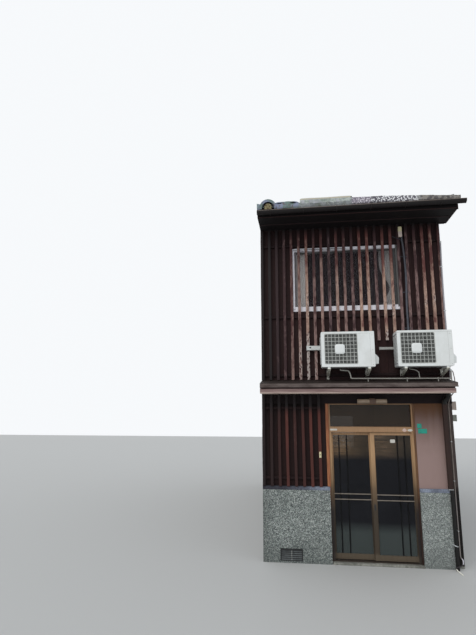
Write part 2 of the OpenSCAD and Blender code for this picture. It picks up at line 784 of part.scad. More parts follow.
module address_plates() color([0.08, 0.55, 0.48]) {
    slab([911, -plaster_out - plate_t, 1940], [960, -plaster_out, 2000]);
    slab([916, -plaster_out - plate_t, 1865], [1016, -plaster_out, 1927]);
}

foundation();
upper_floor();
left_party_wall();
right_party_wall();
board_wall();
plaster_wall();
corner_post();
dado_left();
dado_right();
vent_grille();
door_posts();
lintel_beam();
front_wall_upper();
rear_wall_lower();
rear_wall_upper();
door_frame();
transom_glass();
left_door();
left_door_glass();
right_door();
right_door_glass();
door_lock();
lower_lattice();
upper_lattice();
upper_window();
upper_window_glass();
curtain_rail();
curtains();
rear_windows();
rear_window_glass();
ledge();
ledge_cap();
aircon_left();
aircon_right();
aircon_grilles();
aircon_brackets();
duct_covers();
drain_pipe();
wall_conduits();
soffits();
rafters();
roof_boards();
verge_boards();
front_tiles();
rear_tiles();
ridge_tiles();
gutters();
downpipes();
porch_lamp();
doorbell();
address_plates();
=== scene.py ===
# %% [markdown]
# A narrow timber townhouse in Blender
#
# This lesson dresses a finished CAD model of a two-storey townhouse. The CAD solids give every size, and each
# cell below turns one part of the house into something that looks like the real thing: stained slats that
# have weathered, chip render, clay pantiles, glass doors and sheet metal. Everything is in metres. X runs to
# the right along the street front, Y runs back into the house and Z is up.

import json
import math

import bmesh
import bpy
import numpy as np
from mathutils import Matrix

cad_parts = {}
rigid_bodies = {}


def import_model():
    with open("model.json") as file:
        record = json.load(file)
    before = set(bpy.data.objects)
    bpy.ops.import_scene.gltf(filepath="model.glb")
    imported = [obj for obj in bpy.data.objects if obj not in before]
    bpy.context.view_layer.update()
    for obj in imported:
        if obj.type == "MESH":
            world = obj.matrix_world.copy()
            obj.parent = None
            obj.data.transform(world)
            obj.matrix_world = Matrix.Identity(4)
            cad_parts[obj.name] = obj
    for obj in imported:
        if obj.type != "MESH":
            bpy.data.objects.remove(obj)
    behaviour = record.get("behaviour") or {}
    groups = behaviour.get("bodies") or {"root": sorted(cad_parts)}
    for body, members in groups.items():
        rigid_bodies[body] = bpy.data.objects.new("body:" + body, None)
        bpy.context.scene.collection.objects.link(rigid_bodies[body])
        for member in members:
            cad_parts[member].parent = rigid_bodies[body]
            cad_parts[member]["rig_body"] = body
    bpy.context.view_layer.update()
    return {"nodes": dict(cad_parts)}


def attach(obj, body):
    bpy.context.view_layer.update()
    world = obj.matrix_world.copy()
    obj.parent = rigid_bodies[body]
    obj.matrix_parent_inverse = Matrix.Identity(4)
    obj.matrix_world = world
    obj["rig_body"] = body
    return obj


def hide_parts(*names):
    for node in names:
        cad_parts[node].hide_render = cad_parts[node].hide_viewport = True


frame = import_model()
nodes = frame["nodes"]
rng = np.random.default_rng(7)
HOUSE, LEFT_LEAF, RIGHT_LEAF = "house", "left_door_leaf", "right_door_leaf"

# %% [markdown]
# The camera stands where the photographer stood, about 7.6 m from the wall and a little left of the door, and
# looks slightly up and to the left. A lens is fixed by the ratio of its focal length in pixels to the longer
# side of the picture, so the same view comes out at any render size.

# %% Camera
PICTURE_H, FOCAL_PX, SENSOR_W = 635, 478, 36.0
YAW, PITCH = math.radians(7.5), math.radians(10.6)

camera_data = bpy.data.cameras.new("street_camera")
camera_data.sensor_width = SENSOR_W
camera_data.lens = FOCAL_PX / PICTURE_H * SENSOR_W
camera_data.clip_end = 200.0
camera = bpy.data.objects.new("street_camera", camera_data)
camera.location = (-0.805, -7.65, 2.25)
camera.rotation_euler = (math.pi / 2 + PITCH, 0.0, YAW)
bpy.context.scene.collection.objects.link(camera)
bpy.context.scene.camera = camera
print("lens:", round(camera_data.lens, 2), "mm")

# %% [markdown]
# The light is a plain overcast one: a pale sky all round, and one very wide soft lamp high in front of the
# house. The world shows plain white to the camera and in reflections, and a softer grey where it lights the
# surfaces. The floor is pale, large and flat, and isn't part of the house.

# %% Light, sky and floor
scene = bpy.context.scene
scene.view_settings.view_transform = "Standard"

SKY_LIGHT, SKY_SHOWN = 0.72, 1.0

world = bpy.data.worlds.new("overcast")
scene.world = world
world.use_nodes = True
sky = world.node_tree
sky.nodes.clear()
sky_out = sky.nodes.new("ShaderNodeOutputWorld")
lit, shown = (sky.nodes.new("ShaderNodeBackground") for _ in range(2))
choose = sky.nodes.new("ShaderNodeMixShader")
lit.inputs[0].default_value = (0.90, 0.95, 1.0, 1.0)
lit.inputs[1].default_value = SKY_LIGHT
shown.inputs[0].default_value = (0.93, 0.95, 0.97, 1.0)
shown.inputs[1].default_value = SKY_SHOWN
path = sky.nodes.new("ShaderNodeLightPath")
seen, seen_or_mirrored = (sky.nodes.new("ShaderNodeMath") for _ in range(2))
for either in (seen, seen_or_mirrored):
    either.operation = "MAXIMUM"
sky.links.new(path.outputs["Is Camera Ray"], seen.inputs[0])
sky.links.new(path.outputs["Is Transmission Ray"], seen.inputs[1])
sky.links.new(seen.outputs[0], seen_or_mirrored.inputs[0])
sky.links.new(path.outputs["Is Glossy Ray"], seen_or_mirrored.inputs[1])
sky.links.new(seen_or_mirrored.outputs[0], choose.inputs[0])
sky.links.new(lit.outputs[0], choose.inputs[1])
sky.links.new(shown.outputs[0], choose.inputs[2])
sky.links.new(choose.outputs[0], sky_out.inputs[0])

lamp_data = bpy.data.lights.new("soft_lamp", "SUN")
lamp_data.energy = 1.0
lamp_data.angle = math.radians(50)
lamp_data.color = (1.0, 0.97, 0.93)
lamp = bpy.data.objects.new("soft_lamp", lamp_data)
lamp.rotation_euler = (math.radians(52), 0.0, math.radians(-22))
scene.collection.objects.link(lamp)


def plain_floor(size):
    """One flat square in the ground plane, with its corners at plus and minus half of size in X and Y."""
    half = size / 2
    mesh = bpy.data.meshes.new("floor")
    mesh.from_pydata([(-half, -half, 0), (half, -half, 0), (half, half, 0), (-half, half, 0)], [],
        [(0, 1, 2, 3)])
    floor = bpy.data.objects.new("floor", mesh)
    scene.collection.objects.link(floor)
    finish = bpy.data.materials.new("floor_grey")
    finish.use_nodes = True
    finish.node_tree.nodes["Principled BSDF"].inputs["Base Color"].default_value = (0.55, 0.55, 0.54, 1.0)
    finish.node_tree.nodes["Principled BSDF"].inputs["Roughness"].default_value = 0.9
    mesh.materials.append(finish)
    return floor


plain_floor(60.0)

# %% [markdown]
# Every finish is a small network of nodes. The house has a few dozen surfaces, so the steps that they share
# are written once: a noise that may be stretched along the grain, a blend of two colours, a bump. The
# patterns read Object coordinates, which are metres here because every object sits at the origin, so a scale
# of 100 means one blotch to a centimetre whatever the surface.

# %% Helpers for finishes


def srgb(r, g, b):
    """A colour as it looks on screen, from 0 to 255, turned into the linear one that shaders use: ((c +
    0.055) / 1.055) to the power 2.4, or c / 12.92 near black."""
    shares = (r / 255, g / 255, b / 255)
    linear = [c / 12.92 if c <= 0.04045 else ((c + 0.055) / 1.055) ** 2.4 for c in shares]
    return (*linear, 1.0)


class Finish:
    """A Principled material with helpers that add nodes. A helper that makes a value gives back its socket,
    and one that sets something on the material gives back the finish, so that calls can be chained."""

    def __init__(self, name, rough=0.8, metal=0.0, spec=0.5, alpha=1.0):
        self.material = bpy.data.materials.new(name)
        self.material.use_nodes = True
        self.tree = self.material.node_tree
        self.shader = self.tree.nodes["Principled BSDF"]
        for socket, value in (("Roughness", rough), ("Metallic", metal), ("Specular IOR Level", spec),
                ("Alpha", alpha)):
            self.shader.inputs[socket].default_value = value
        self.place = self.tree.nodes.new("ShaderNodeTexCoord").outputs["Object"]

    def join(self, value, socket):
        """Links a socket, or writes a plain value into it. A plain colour is given as it looks on screen."""
        if isinstance(value, bpy.types.NodeSocket):
            self.tree.links.new(value, socket)
        else:
            socket.default_value = srgb(*value) if socket.type == "RGBA" else value

    def stretched(self, stretch):
        """Object coordinates times a factor along each axis: a small one makes long streaks along it."""
        node = self.tree.nodes.new("ShaderNodeMapping")
        self.join(self.place, node.inputs["Vector"])
        node.inputs["Scale"].default_value = stretch
        return node.outputs[0]

    def noise(self, scale, detail=4.0, stretch=(1, 1, 1), rough=0.55):
        """Cloudy values round 0.5, one blotch to 1 / scale metres."""
        node = self.tree.nodes.new("ShaderNodeTexNoise")
        self.join(self.stretched(stretch), node.inputs["Vector"])
        for socket, value in (("Scale", scale), ("Detail", detail), ("Roughness", rough)):
            node.inputs[socket].default_value = value
        return node.outputs["Fac"]

    def cells(self, scale, feature="F1", output="Distance"):
        """Voronoi cells, one to 1 / scale metres. Distance grows from a cell's middle, Color is random."""
        node = self.tree.nodes.new("ShaderNodeTexVoronoi")
        node.feature = feature
        self.join(self.place, node.inputs["Vector"])
        node.inputs["Scale"].default_value = scale
        return node.outputs[output]

    def picks(self, scale):
        """Three random numbers for each cell: the red, green and blue of its random colour."""
        node = self.tree.nodes.new("ShaderNodeSeparateColor")
        self.join(self.cells(scale, output="Color"), node.inputs[0])
        return node.outputs

    def height(self, axis="Z"):
        """The place along one axis, in metres."""
        node = self.tree.nodes.new("ShaderNodeSeparateXYZ")
        self.join(self.place, node.inputs[0])
        return node.outputs[axis]

    def attribute(self, name):
        """A number that the mesh carries at each point, such as how weathered it is."""
        node = self.tree.nodes.new("ShaderNodeAttribute")
        node.attribute_name = name
        return node.outputs["Fac"]

    def ramp(self, value, low, high, to_low=0.0, to_high=1.0):
        """Straight line from (low, to_low) to (high, to_high), held level beyond both."""
        node = self.tree.nodes.new("ShaderNodeMapRange")
        for socket, v in zip(node.inputs[:5], (value, low, high, to_low, to_high)):
            self.join(v, socket)
        return node.outputs[0]

    def along(self, axis, *numbers):
        """A ramp over the place along one axis."""
        return self.ramp(self.height(axis), *numbers)

    def sum(self, a, b, kind="ADD"):
        """a + b, or another sum that Math has a name for."""
        node = self.tree.nodes.new("ShaderNodeMath")
        node.operation = kind
        self.join(a, node.inputs[0])
        self.join(b, node.inputs[1])
        return node.outputs[0]

    def times(self, product, *factors):
        """The product of all that it is given."""
        for factor in factors:
            product = self.sum(product, factor, "MULTIPLY")
        return product

    def blend(self, a, b, factor):
        """Colour a where factor is 0 and colour b where it is 1."""
        node = self.tree.nodes.new("ShaderNodeMix")
        node.data_type = "RGBA"
        self.join(factor, node.inputs[0])
        self.join(a, node.inputs[6])
        self.join(b, node.inputs[7])
        return node.outputs[2]

    def colour(self, value):
        """Sets the base colour."""
        self.join(value, self.shader.inputs["Base Color"])
        return self

    def over(self, colour, factor):
        """Lays one more colour over the base colour that is set so far."""
        return self.colour(self.blend(self.shader.inputs["Base Color"].links[0].from_socket, colour, factor))

    def tint(self, colour, *ramps):
        """Lays a colour over the base colour by a product of ramps, each an axis and its numbers."""
        return self.over(colour, self.times(*(self.along(*ramp) for ramp in ramps)))

    def roughness(self, value):
        """Sets a roughness that changes over the surface."""
        self.join(value, self.shader.inputs["Roughness"])
        return self

    def bump(self, value, depth, strength=1.0):
        """Tilts the light's view of the surface as if value raised it by depth metres. Bumps add up."""
        node = self.tree.nodes.new("ShaderNodeBump")
        node.inputs["Strength"].default_value = strength
        node.inputs["Distance"].default_value = depth
        self.join(value, node.inputs["Height"])
        socket = self.shader.inputs["Normal"]
        if socket.is_linked:
            self.join(socket.links[0].from_socket, node.inputs["Normal"])
        self.join(node.outputs[0], socket)
        return self


print("finish helpers ready")

# %% [markdown]
# The shapes are made as whole arrays of points. A part is a pair: an array of points and a list of arrays of
# faces. Several parts are then put into one mesh, and each part may carry numbers for its points, such as the
# tone of one board, which the finish reads back.

# %% Helpers for shapes


class Shape:
    """Collects parts, each an array of points, arrays of faces, and a number for each attribute."""

    def __init__(self):
        self.points, self.faces, self.values, self.count = [], [], {}, 0

    def add(self, points, faces, **values):
        """Appends a part. Faces are arrays of point numbers, one row for each face, counted from the part's
        own start."""
        points = np.asarray(points, float).reshape(-1, 3)
        for name, value in values.items():
            numbers = np.broadcast_to(np.ravel(value).astype(float), len(points))
            self.values.setdefault(name, []).append((self.count, numbers))
        self.points.append(points)
        self.faces += [np.asarray(block, np.int64) + self.count for block in faces if len(block)]
        self.count += len(points)
        return self

    def place(self, part, mirrored, **values):
        """Appends a part of the front slope, or its mirror image on the back slope."""
        return self.add(*(to_rear(*part) if mirrored else part), **values)

    def box(self, low, high, edge=0.002, **values):
        """Appends a block between two opposite corners."""
        return self.add(*block(low, high, edge), **values)

    def tube(self, path, profile, scale=None, **values):
        """Appends a profile carried along a path."""
        return self.add(*sweep(path, profile, scale), **values)

    def rod(self, start, end, radius, sides=12, **values):
        """Appends a straight round rod."""
        return self.tube([start, end], circle(radius, sides), **values)

    def piece(self, name, finish, slot, replaces=(), body=HOUSE, smooth=False):
        """Makes the object, its loops and polygons written as whole arrays, and gives it its finish and its
        body.
        """
        mesh = bpy.data.meshes.new(name)
        points = np.concatenate(self.points)
        loops = np.concatenate([block.reshape(-1) for block in self.faces])
        sizes = np.concatenate([np.full(len(block), block.shape[1]) for block in self.faces])
        mesh.vertices.add(len(points))
        mesh.vertices.foreach_set("co", points.astype(np.float32).reshape(-1))
        mesh.loops.add(len(loops))
        mesh.loops.foreach_set("vertex_index", loops.astype(np.int32))
        mesh.polygons.add(len(sizes))
        mesh.polygons.foreach_set("loop_start", np.concatenate([[0], np.cumsum(sizes)[:-1]]).astype(np.int32))
        mesh.polygons.foreach_set("use_smooth", np.full(len(sizes), smooth))
        mesh.update(calc_edges=True)
        for attribute, runs in self.values.items():
            data = np.zeros(len(points), np.float32)
            for start, values in runs:
                data[start:start + len(values)] = values
            mesh.attributes.new(attribute, "FLOAT", "POINT").data.foreach_set("value", data)
        mesh.validate()
        piece = bpy.data.objects.new(name, mesh)
        scene.collection.objects.link(piece)
        return dress(piece, finish, replaces, body)


def dress(piece, finish, replaces, body):
    """Gives a piece its finish and its body, and hides the CAD node that it stands for."""
    piece.data.materials.clear()
    piece.data.materials.append(finish.material)
    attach(piece, body)
    if replaces:
        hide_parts(replaces)
    return piece


def grid_faces(rows, columns, closed=False):
    """Quads between the points of a grid numbered row by row. closed joins the last column to the first."""
    last = columns if closed else columns - 1
    r, c = np.meshgrid(np.arange(rows - 1), np.arange(last), indexing="ij")
    after = (c + 1) % columns
    quads = [r * columns + c, r * columns + after, (r + 1) * columns + after, (r + 1) * columns + c]
    return np.stack(quads, axis=-1).reshape(-1, 4)


def tube_faces(rings, around):
    """The wall between rings of points, and a cap on the first and on the last ring."""
    ring = np.arange(around)
    return [grid_faces(rings, around, closed=True), ring[None, ::-1], (ring + (rings - 1) * around)[None]]


def block(low, high, edge=0.002):
    """A block with its edges cut at 45 degrees: each of the 8 corners becomes 3 points, set in by edge along
    two of the three axes. 6 sides, 12 edge strips and 8 corner triangles close it."""
    low, high = np.sort(np.array([low, high], float), axis=0)
    edge = min(edge, (high - low).min() * 0.45)
    signs = np.array([[sx, sy, sz] for sx in (0, 1) for sy in (0, 1) for sz in (0, 1)])
    corner = np.where(signs, high, low)
    inward = np.where(signs, -edge, edge)
    # Point 3 * corner + axis lies on the side that faces along that axis
    points = np.stack([corner + inward * (np.arange(3) != axis) for axis in range(3)], axis=1).reshape(-1, 3)
    number = {tuple(s): i for i, s in enumerate(signs.tolist())}
    sides, strips, tips = [], [], []
    for axis in range(3):
        u, v = (axis + 1) % 3, (axis + 2) % 3
        for s in (0, 1):
            ring = []
            for a, b in ((0, 0), (1, 0), (1, 1), (0, 1)):
                key = [0, 0, 0]
                key[axis], key[u], key[v] = s, a, b
                ring.append(3 * number[tuple(key)] + axis)
            sides.append(ring if s else ring[::-1])
        for a in (0, 1):
            for b in (0, 1):
                ends = []
                for s in (0, 1):
                    key = [0, 0, 0]
                    key[axis], key[u], key[v] = s, a, b
                    ends.append(3 * number[tuple(key)])
                strip = [ends[0] + u, ends[1] + u, ends[1] + v, ends[0] + v]
                strips.append(strip if (a == b) else strip[::-1])
    for s in signs.tolist():
        tip = [3 * number[tuple(s)] + axis for axis in range(3)]
        tips.append(tip if sum(s) % 2 else tip[::-1])
    return points, [np.array(sides), np.array(strips), np.array(tips)]


def sweep(path, profile, scale=None):
    """Carries a closed profile, drawn as (side, up) pairs, along a path of points. At each point the frame is
    turned so that it stays square to the path and twists as little as it can. Point = path + (side * s + up *
    u) * scale."""
    path, profile = np.asarray(path, float), np.asarray(profile, float)
    tangent = np.gradient(path, axis=0)
    tangent /= np.linalg.norm(tangent, axis=1, keepdims=True)
    up = np.array([0, 0, 1.0]) if abs(tangent[0][2]) < 0.9 else np.array([0, 1.0, 0])
    ups = []
    for t in tangent:
        up = up - t * np.dot(up, t)
        up = up / np.linalg.norm(up)
        ups.append(up)
    ups = np.array(ups)
    sides = np.cross(tangent, ups)
    widths = np.ones(len(path)) if scale is None else np.asarray(scale, float)
    drawn = profile * widths[:, None, None]
    points = path[:, None] + sides[:, None] * drawn[..., :1] + ups[:, None] * drawn[..., 1:]
    return points.reshape(-1, 3), tube_faces(*points.shape[:2])


def circle(radius, sides):
    """Points of a circle of that radius, counter-clockwise."""
    turn = np.linspace(0, 2 * np.pi, sides, endpoint=False)
    return np.stack([radius * np.cos(turn), radius * np.sin(turn)], axis=1)


def rounded(width, height, radius, steps=4):
    """Points of a rectangle centred on zero whose corners are quarter circles."""
    turn = np.linspace(0, np.pi / 2, steps)
    corners = []
    for i, (sx, sy) in enumerate(((1, 1), (-1, 1), (-1, -1), (1, -1))):
        angle = turn + i * np.pi / 2
        middle = np.array([sx * (width / 2 - radius), sy * (height / 2 - radius)])
        corners.append(middle + radius * np.stack([np.cos(angle), np.sin(angle)], axis=1))
    return np.concatenate(corners)


def extruded(outline, origin, carry, u=(0, 1, 0), v=(0, 0, 1)):
    """A flat outline (a, b) drawn at origin + a u + b v, carried along a vector and closed at both ends."""
    outline = np.asarray(outline, float)
    origin, carry, u, v = (np.asarray(x, float) for x in (origin, carry, u, v))
    flat = origin + outline[:, :1] * u + outline[:, 1:] * v
    m = len(outline)
    ring = np.arange(m)
    after = (ring + 1) % m
    faces = [np.stack([ring, after, after + m, ring + m], axis=1), ring[None, ::-1], (ring + m)[None]]
    if np.dot(np.cross(u, v), carry) < 0:
        faces = [rows[:, ::-1] for rows in faces]
    return np.concatenate([flat, flat + carry]), faces


def softened(node, name, finish, edge, segments=2):
    """A copy of a CAD node whose edges are rounded by a Bevel: real edges are never sharp, and catch the
    light. The copy's doubled points are merged first, because the CAD mesh is loose triangles."""
    source = nodes[node]
    mesh = source.data.copy()
    work = bmesh.new()
    work.from_mesh(mesh)
    bmesh.ops.remove_doubles(work, verts=work.verts, dist=1e-5)
    bmesh.ops.dissolve_limit(work, angle_limit=math.radians(1), verts=work.verts, edges=work.edges)
    work.to_mesh(mesh)
    work.free()
    mesh.polygons.foreach_set("use_smooth", np.zeros(len(mesh.polygons), bool))
    piece = bpy.data.objects.new(name, mesh)
    scene.collection.objects.link(piece)
    bevel = piece.modifiers.new("edges", "BEVEL")
    bevel.width = edge
    bevel.segments = segments
    bevel.limit_method = "ANGLE"
    bevel.angle_limit = math.radians(40)
    return dress(piece, finish, node, source["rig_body"])


def repaint(node, finish):
    """Gives a CAD node that keeps its own shape a finish."""
    mesh = nodes[node].data
    mesh.materials.clear()
    mesh.materials.append(finish.material)


print("shape helpers ready")

# %% [markdown]
# The timber. The slats were once stained maroon. Under the eaves the stain is still dark, and right under
# them a painted shade makes it nearly black; lower down the sun and rain have bleached it to pink, then to
# tan and at the feet to pale grey. One finish serves them all: it reads how weathered a point is from the
# mesh, adds long streaks along the grain, and mixes three colours.

# %% Timber finishes


def grain(finish, along="Z", fine=160.0):
    """Long streaks along one axis: noise whose coordinates are squeezed twenty-fold along the grain."""
    stretch = tuple(0.05 if axis == along else 1.0 for axis in "XYZ")
    return finish.noise(fine, 5.0, stretch, 0.6)


def slat_stain(name, shaded, stained, mottle=1.0):
    """Maroon stain to pink to pale grey, by the mesh's worn value with streaks along the grain added to it.
    Below zero it is nearly black, a painted shade, and where the wood is most worn, flakes of the old stain
    are left."""
    wood = Finish(name, rough=0.72, spec=0.25)
    streaks = grain(wood)
    worn = wood.sum(wood.attribute("worn"), wood.ramp(streaks, 0.3, 0.7, -0.20 * mottle, 0.20 * mottle))
    for scale, share in ((9.0, 0.25), (32.0, 0.35)):
        blotches = wood.noise(scale, 3.0, (1.0, 1.0, share))
        worn = wood.sum(worn, wood.ramp(blotches, 0.35, 0.65, -0.16 * mottle, 0.16 * mottle))
    tone = wood.attribute("tone")
    pink = wood.blend((136, 110, 110), (188, 157, 139), tone)
    flakes = wood.ramp(wood.noise(70.0, 4.0, (1.0, 1.0, 0.3)), 0.50, 0.56)
    flakes = wood.times(flakes, wood.ramp(worn, 0.45, 0.75))
    wood.colour(wood.blend(shaded, stained, tone)).over(pink, wood.ramp(worn, 0.12, 0.58))
    wood.over((190, 178, 172), wood.ramp(worn, 0.62, 0.95)).over((84, 56, 56), flakes)
    # Painted shade: where worn is below zero the stain goes nearly black
    wood.over((28, 22, 23), wood.ramp(wood.attribute("worn"), 0.02, -0.35))
    wood.roughness(wood.ramp(worn, 0.0, 1.0, 0.6, 0.9))
    return wood.bump(streaks, 0.0012, 0.5).bump(flakes, 0.0008, 0.5)


def dark_board(name, along="Z", light=(40, 31, 32), dark=(22, 17, 18)):
    """Near-black stained board, with a little brown in the streaks and a tone of its own for each board."""
    wood = Finish(name, rough=0.75, spec=0.2)
    streaks = grain(wood, along, 110.0)
    wood.colour(wood.blend(dark, light, wood.ramp(streaks, 0.3, 0.75)))
    wood.over((58, 36, 34), wood.ramp(wood.attribute("tone"), 0.55, 1.0, 0.0, 0.55))
    return wood.roughness(wood.ramp(streaks, 0.3, 0.7, 0.62, 0.88)).bump(streaks, 0.001, 0.5)


SLAT = slat_stain("slat_stain", (50, 35, 38), (102, 60, 56))
LOW_SLAT = slat_stain("low_slat_stain", (32, 22, 23), (94, 50, 43), 0.4)
RAIL_BOARD = dark_board("board_lattice_rail", "X", (46, 30, 30), (26, 18, 19))
BOARD_UP = dark_board("board_upright", "Z", (60, 40, 40), (36, 25, 25))
# Painted shade under the ledge and at the left end
BOARD_UP.tint((20, 13, 12), ("Z", 2.14, 2.26, 0.35, 0.9), ("Z", 2.62, 2.50))
BOARD_UP.tint((24, 17, 17), ("X", -1.28, -1.36, 0.0, 0.6))
BOARD_ACROSS = dark_board("board_level", "X")
BOARD_SLOPE = dark_board("board_sloping", "Y")
BROWN_BOARD = dark_board("board_brown", "Z", (90, 79, 76), (60, 52, 50))
# Painted shade: the corner strip goes nearly black below the dado's top
BROWN_BOARD.tint((27, 24, 23), ("Z", 1.12, 1.04))


def oiled_post():
    """Reddish oiled post: orange-brown streaks, darker at the foot, and duller on the right post."""
    wood = Finish("oiled_post", rough=0.5, spec=0.35)
    streaks = grain(wood, "Z", 90.0)
    share = wood.ramp(streaks, 0.3, 0.7)
    wood.colour(wood.blend((112, 58, 34), (186, 124, 84), share))
    wood.tint(wood.blend((68, 43, 29), (126, 90, 60), share), ("X", 0.0, 0.1))
    return wood.tint((50, 32, 26), ("Z", 1.02, 0.85)).bump(streaks, 0.0008, 0.4)


POST = oiled_post()
print("timber finishes ready")

# %% [markdown]
# Slats are sawn by hand and hang for decades, so none is quite straight. Each one is a rounded section
# carried down its length, with its middle line bowed by a couple of millimetres and its width a little
# uneven. The mesh carries the weathering and a painted shade: the upper ends hide under the eaves and stay
# dark, painted nearly black right under them and at the shaded left end, the middles fade, the feet go grey.

# %% Slats of both lattices
SLAT_W, SLAT_D, LATTICE_BACK = 0.044, 0.035, 0.040
HALF_W = 1.425
SLAT_COUNT, LONG_SLATS, RAIL_HALF = 24, 8, 0.020
SLAT_X = np.linspace(-HALF_W + SLAT_W / 2 + 0.001, HALF_W - SLAT_W / 2 - 0.001, SLAT_COUNT)
SOFFIT_Z, LEDGE_Z, DADO_Z = 5.150, 2.448, 1.076
LEDGE_OUT, CAP_SLOPE, CAP_T = 0.430, 0.15, 0.064
CAP_TOP = 2.538 + LEDGE_OUT * CAP_SLOPE + CAP_T
# The feet of the slats right of the eighth, and a height at which the upper slats have kept their stain
SHORT_FOOT, DARK_STRETCH = 3.268, 3.54


def slat_section(edge=0.003):
    """The outline of a slat in plan, with its four corners cut."""
    w, d = SLAT_W / 2, SLAT_D / 2
    return np.array([(-w + edge, -d), (w - edge, -d), (w, -d + edge), (w, d - edge), (w - edge, d),
        (-w + edge, d), (-w, d - edge), (-w, -d + edge)])


def slat(shape, x, foot, head, tone, weather, lean=0.0, rings=26):
    """One slat: the section carried from foot to head. The middle line bows by a millimetre or two as half a
    sine wave, the width varies by 3 %, and worn comes from the weather function of height. The head leans by
    lean and the foot the other way."""
    z = np.linspace(foot, head, rings)
    share = (z - foot) / (head - foot)
    section = slat_section()
    bow = rng.normal(0, 0.0016) * np.sin(np.pi * share) + rng.normal(0, 0.0006, rings)
    width = 1 + 0.03 * np.sin(share * rng.uniform(4, 9) + rng.uniform(0, 6))
    points = np.zeros((rings, len(section), 3))
    middle = x + bow + lean * (2 * share - 1)
    points[..., 0] = middle[:, None] + section[:, 0] * width[:, None]
    points[..., 1] = -LATTICE_BACK - SLAT_D / 2 + section[:, 1]
    points[..., 2] = z[:, None]
    shape.add(points, tube_faces(*points.shape[:2]), worn=np.repeat(weather(z), len(section)), tone=tone)


def upper_weather(x, foot, fade):
    """How worn an upper slat is at height z: below 0 right under the eaves, a painted shade, rising to fade
    near the foot, with one dark stretch between. The left end of the house stands in the shade of its
    neighbour, so its slats are painted nearly black with that shade and have hardly faded."""
    shade = np.clip((x + 1.02) / 0.26, 0.0, 1.0)
    reach, grey = (0.90, 0.36) if foot < SHORT_FOOT else (0.32, 0.20)

    def worn(z):
        depth = np.clip((4.78 - z) / 1.1, 0, 1) - 0.62 * np.exp(-((z - DARK_STRETCH) / 0.15) ** 2)
        grey_foot = np.clip((foot + reach - z) / reach, 0, 1) * grey
        painted_shade = 0.45 * np.clip((z - 4.98) / 0.15, 0, 1) + 0.40 * np.clip((-1.10 - x) / 0.16, 0, 1)
        return 0.06 + shade * (fade * depth + grey_foot) - painted_shade

    return worn


def lower_weather(z):
    """Lower slats keep their red stain. They are darker below mid height, a little paler again at the foot,
    and painted nearly black close under the ledge, a painted shade."""
    lower = 0.12 * np.clip((1.75 - z) / 0.25, 0, 1) - 0.05 * np.clip((1.20 - z) / 0.1, 0, 1)
    # The last term is a painted shade under the ledge
    return 0.04 - lower - 0.42 * np.clip((z - 2.14) / 0.12, 0, 1)


# Slats that have faded most, and slats that have kept their stain
PALER, DARKER = {6, 13, 14, 16, 17, 21, 22}, {7, 9, 11, 12, 15, 18, 19, 20}
# Tones of the lower slats from the left; the low ones at the left end also paint the neighbour's shade
LOW_TONE = (0.0, 0.10, 0.28, 0.85, 0.35, 0.50, 1.0, 0.90)
upper_slats = Shape()
for i, x in enumerate(SLAT_X):
    foot = CAP_TOP if i < LONG_SLATS else SHORT_FOOT
    fade = 0.50 + 0.20 * (i in PALER) - 0.12 * (i in DARKER) + rng.uniform(-0.05, 0.05)
    # Dark tones for the four slats at the left end are part of the neighbour's painted shade
    tone = rng.uniform(*((0.8, 1.0) if i in PALER else (0.0, 0.35) if i in DARKER or i < 4 else (0.3, 0.7)))
    shift = np.interp(i, (1, 4, 11, 16, 22, 23), (0.0, -0.012, -0.017, -0.012, -0.008, 0.0))
    slat(upper_slats, x + shift, foot, SOFFIT_Z, tone, upper_weather(x, foot, fade), 0.005 if i > 2 else 0.0)
lower_slats = Shape()
for i, x in enumerate(SLAT_X[:LONG_SLATS]):
    lean = -0.004 if 3 <= i <= 6 else 0.0
    slat(lower_slats, x + lean, DADO_Z, LEDGE_Z, LOW_TONE[i] * rng.uniform(0.9, 1.0), lower_weather, lean)

rails = Shape()
for heights, last in (((2.742, 3.672, 4.868), SLAT_COUNT - 1), ((1.195, 2.235), LONG_SLATS - 1)):
    for z in heights:
        rails.box((SLAT_X[0] - SLAT_W / 2, -LATTICE_BACK, z - RAIL_HALF),
            (SLAT_X[last] + SLAT_W / 2, -0.0005, z + RAIL_HALF), 0.003, tone=0.4)
upper_slats.piece("upper_slats", SLAT, "lattice_wood", "upper_lattice")
lower_slats.piece("lower_slats", LOW_SLAT, "lattice_wood", "lower_lattice")
rails.piece("lattice_rails", RAIL_BOARD, "lattice_wood")
print("slats:", SLAT_COUNT, "above and", LONG_SLATS, "below")

# %% [markdown]
# Behind the slats the wall is clad in near-black boards. They are laid side by side as thin blocks of uneven
# width with a shadow gap between them, a few millimetres proud of the CAD wall, and they leave the window
# free.

# %% Wall boards
BOARD_W, BOARD_T, BOARD_GAP = 0.118, 0.007, 0.003


def boards(shape, x0, x1, spans, face_y, outward=-1):
    """Upright boards from x0 to x1 on a wall face. spans(left, right) gives the heights that one fills."""
    count = max(1, round((x1 - x0) / BOARD_W))
    cuts = np.linspace(x0, x1, count + 1)
    cuts[1:-1] += rng.uniform(-0.008, 0.008, count - 1)
    for left, right in zip(cuts[:-1], cuts[1:]):
        tone = rng.uniform(0, 1)
        out = BOARD_T * rng.uniform(0.75, 1.0)
        for z0, z1 in spans(left, right):
            far = (right - BOARD_GAP / 2, face_y + outward * out, z1)
            shape.box((left + BOARD_GAP / 2, face_y, z0), far, 0.0015, tone=tone)



WINDOW = (-0.920, 0.776, 3.763, 4.823)
WALL_FOOT, WALL_HEAD, HOUSE_D = 2.440, 5.400, 7.400


def round_window(left, right):
    """Above and below the window where a board crosses it, and the whole height elsewhere."""
    if right <= WINDOW[0] or left >= WINDOW[1]:
        return [(WALL_FOOT, WALL_HEAD)]
    return [(WALL_FOOT, WINDOW[2] - 0.002), (WINDOW[3] + 0.002, WALL_HEAD)]


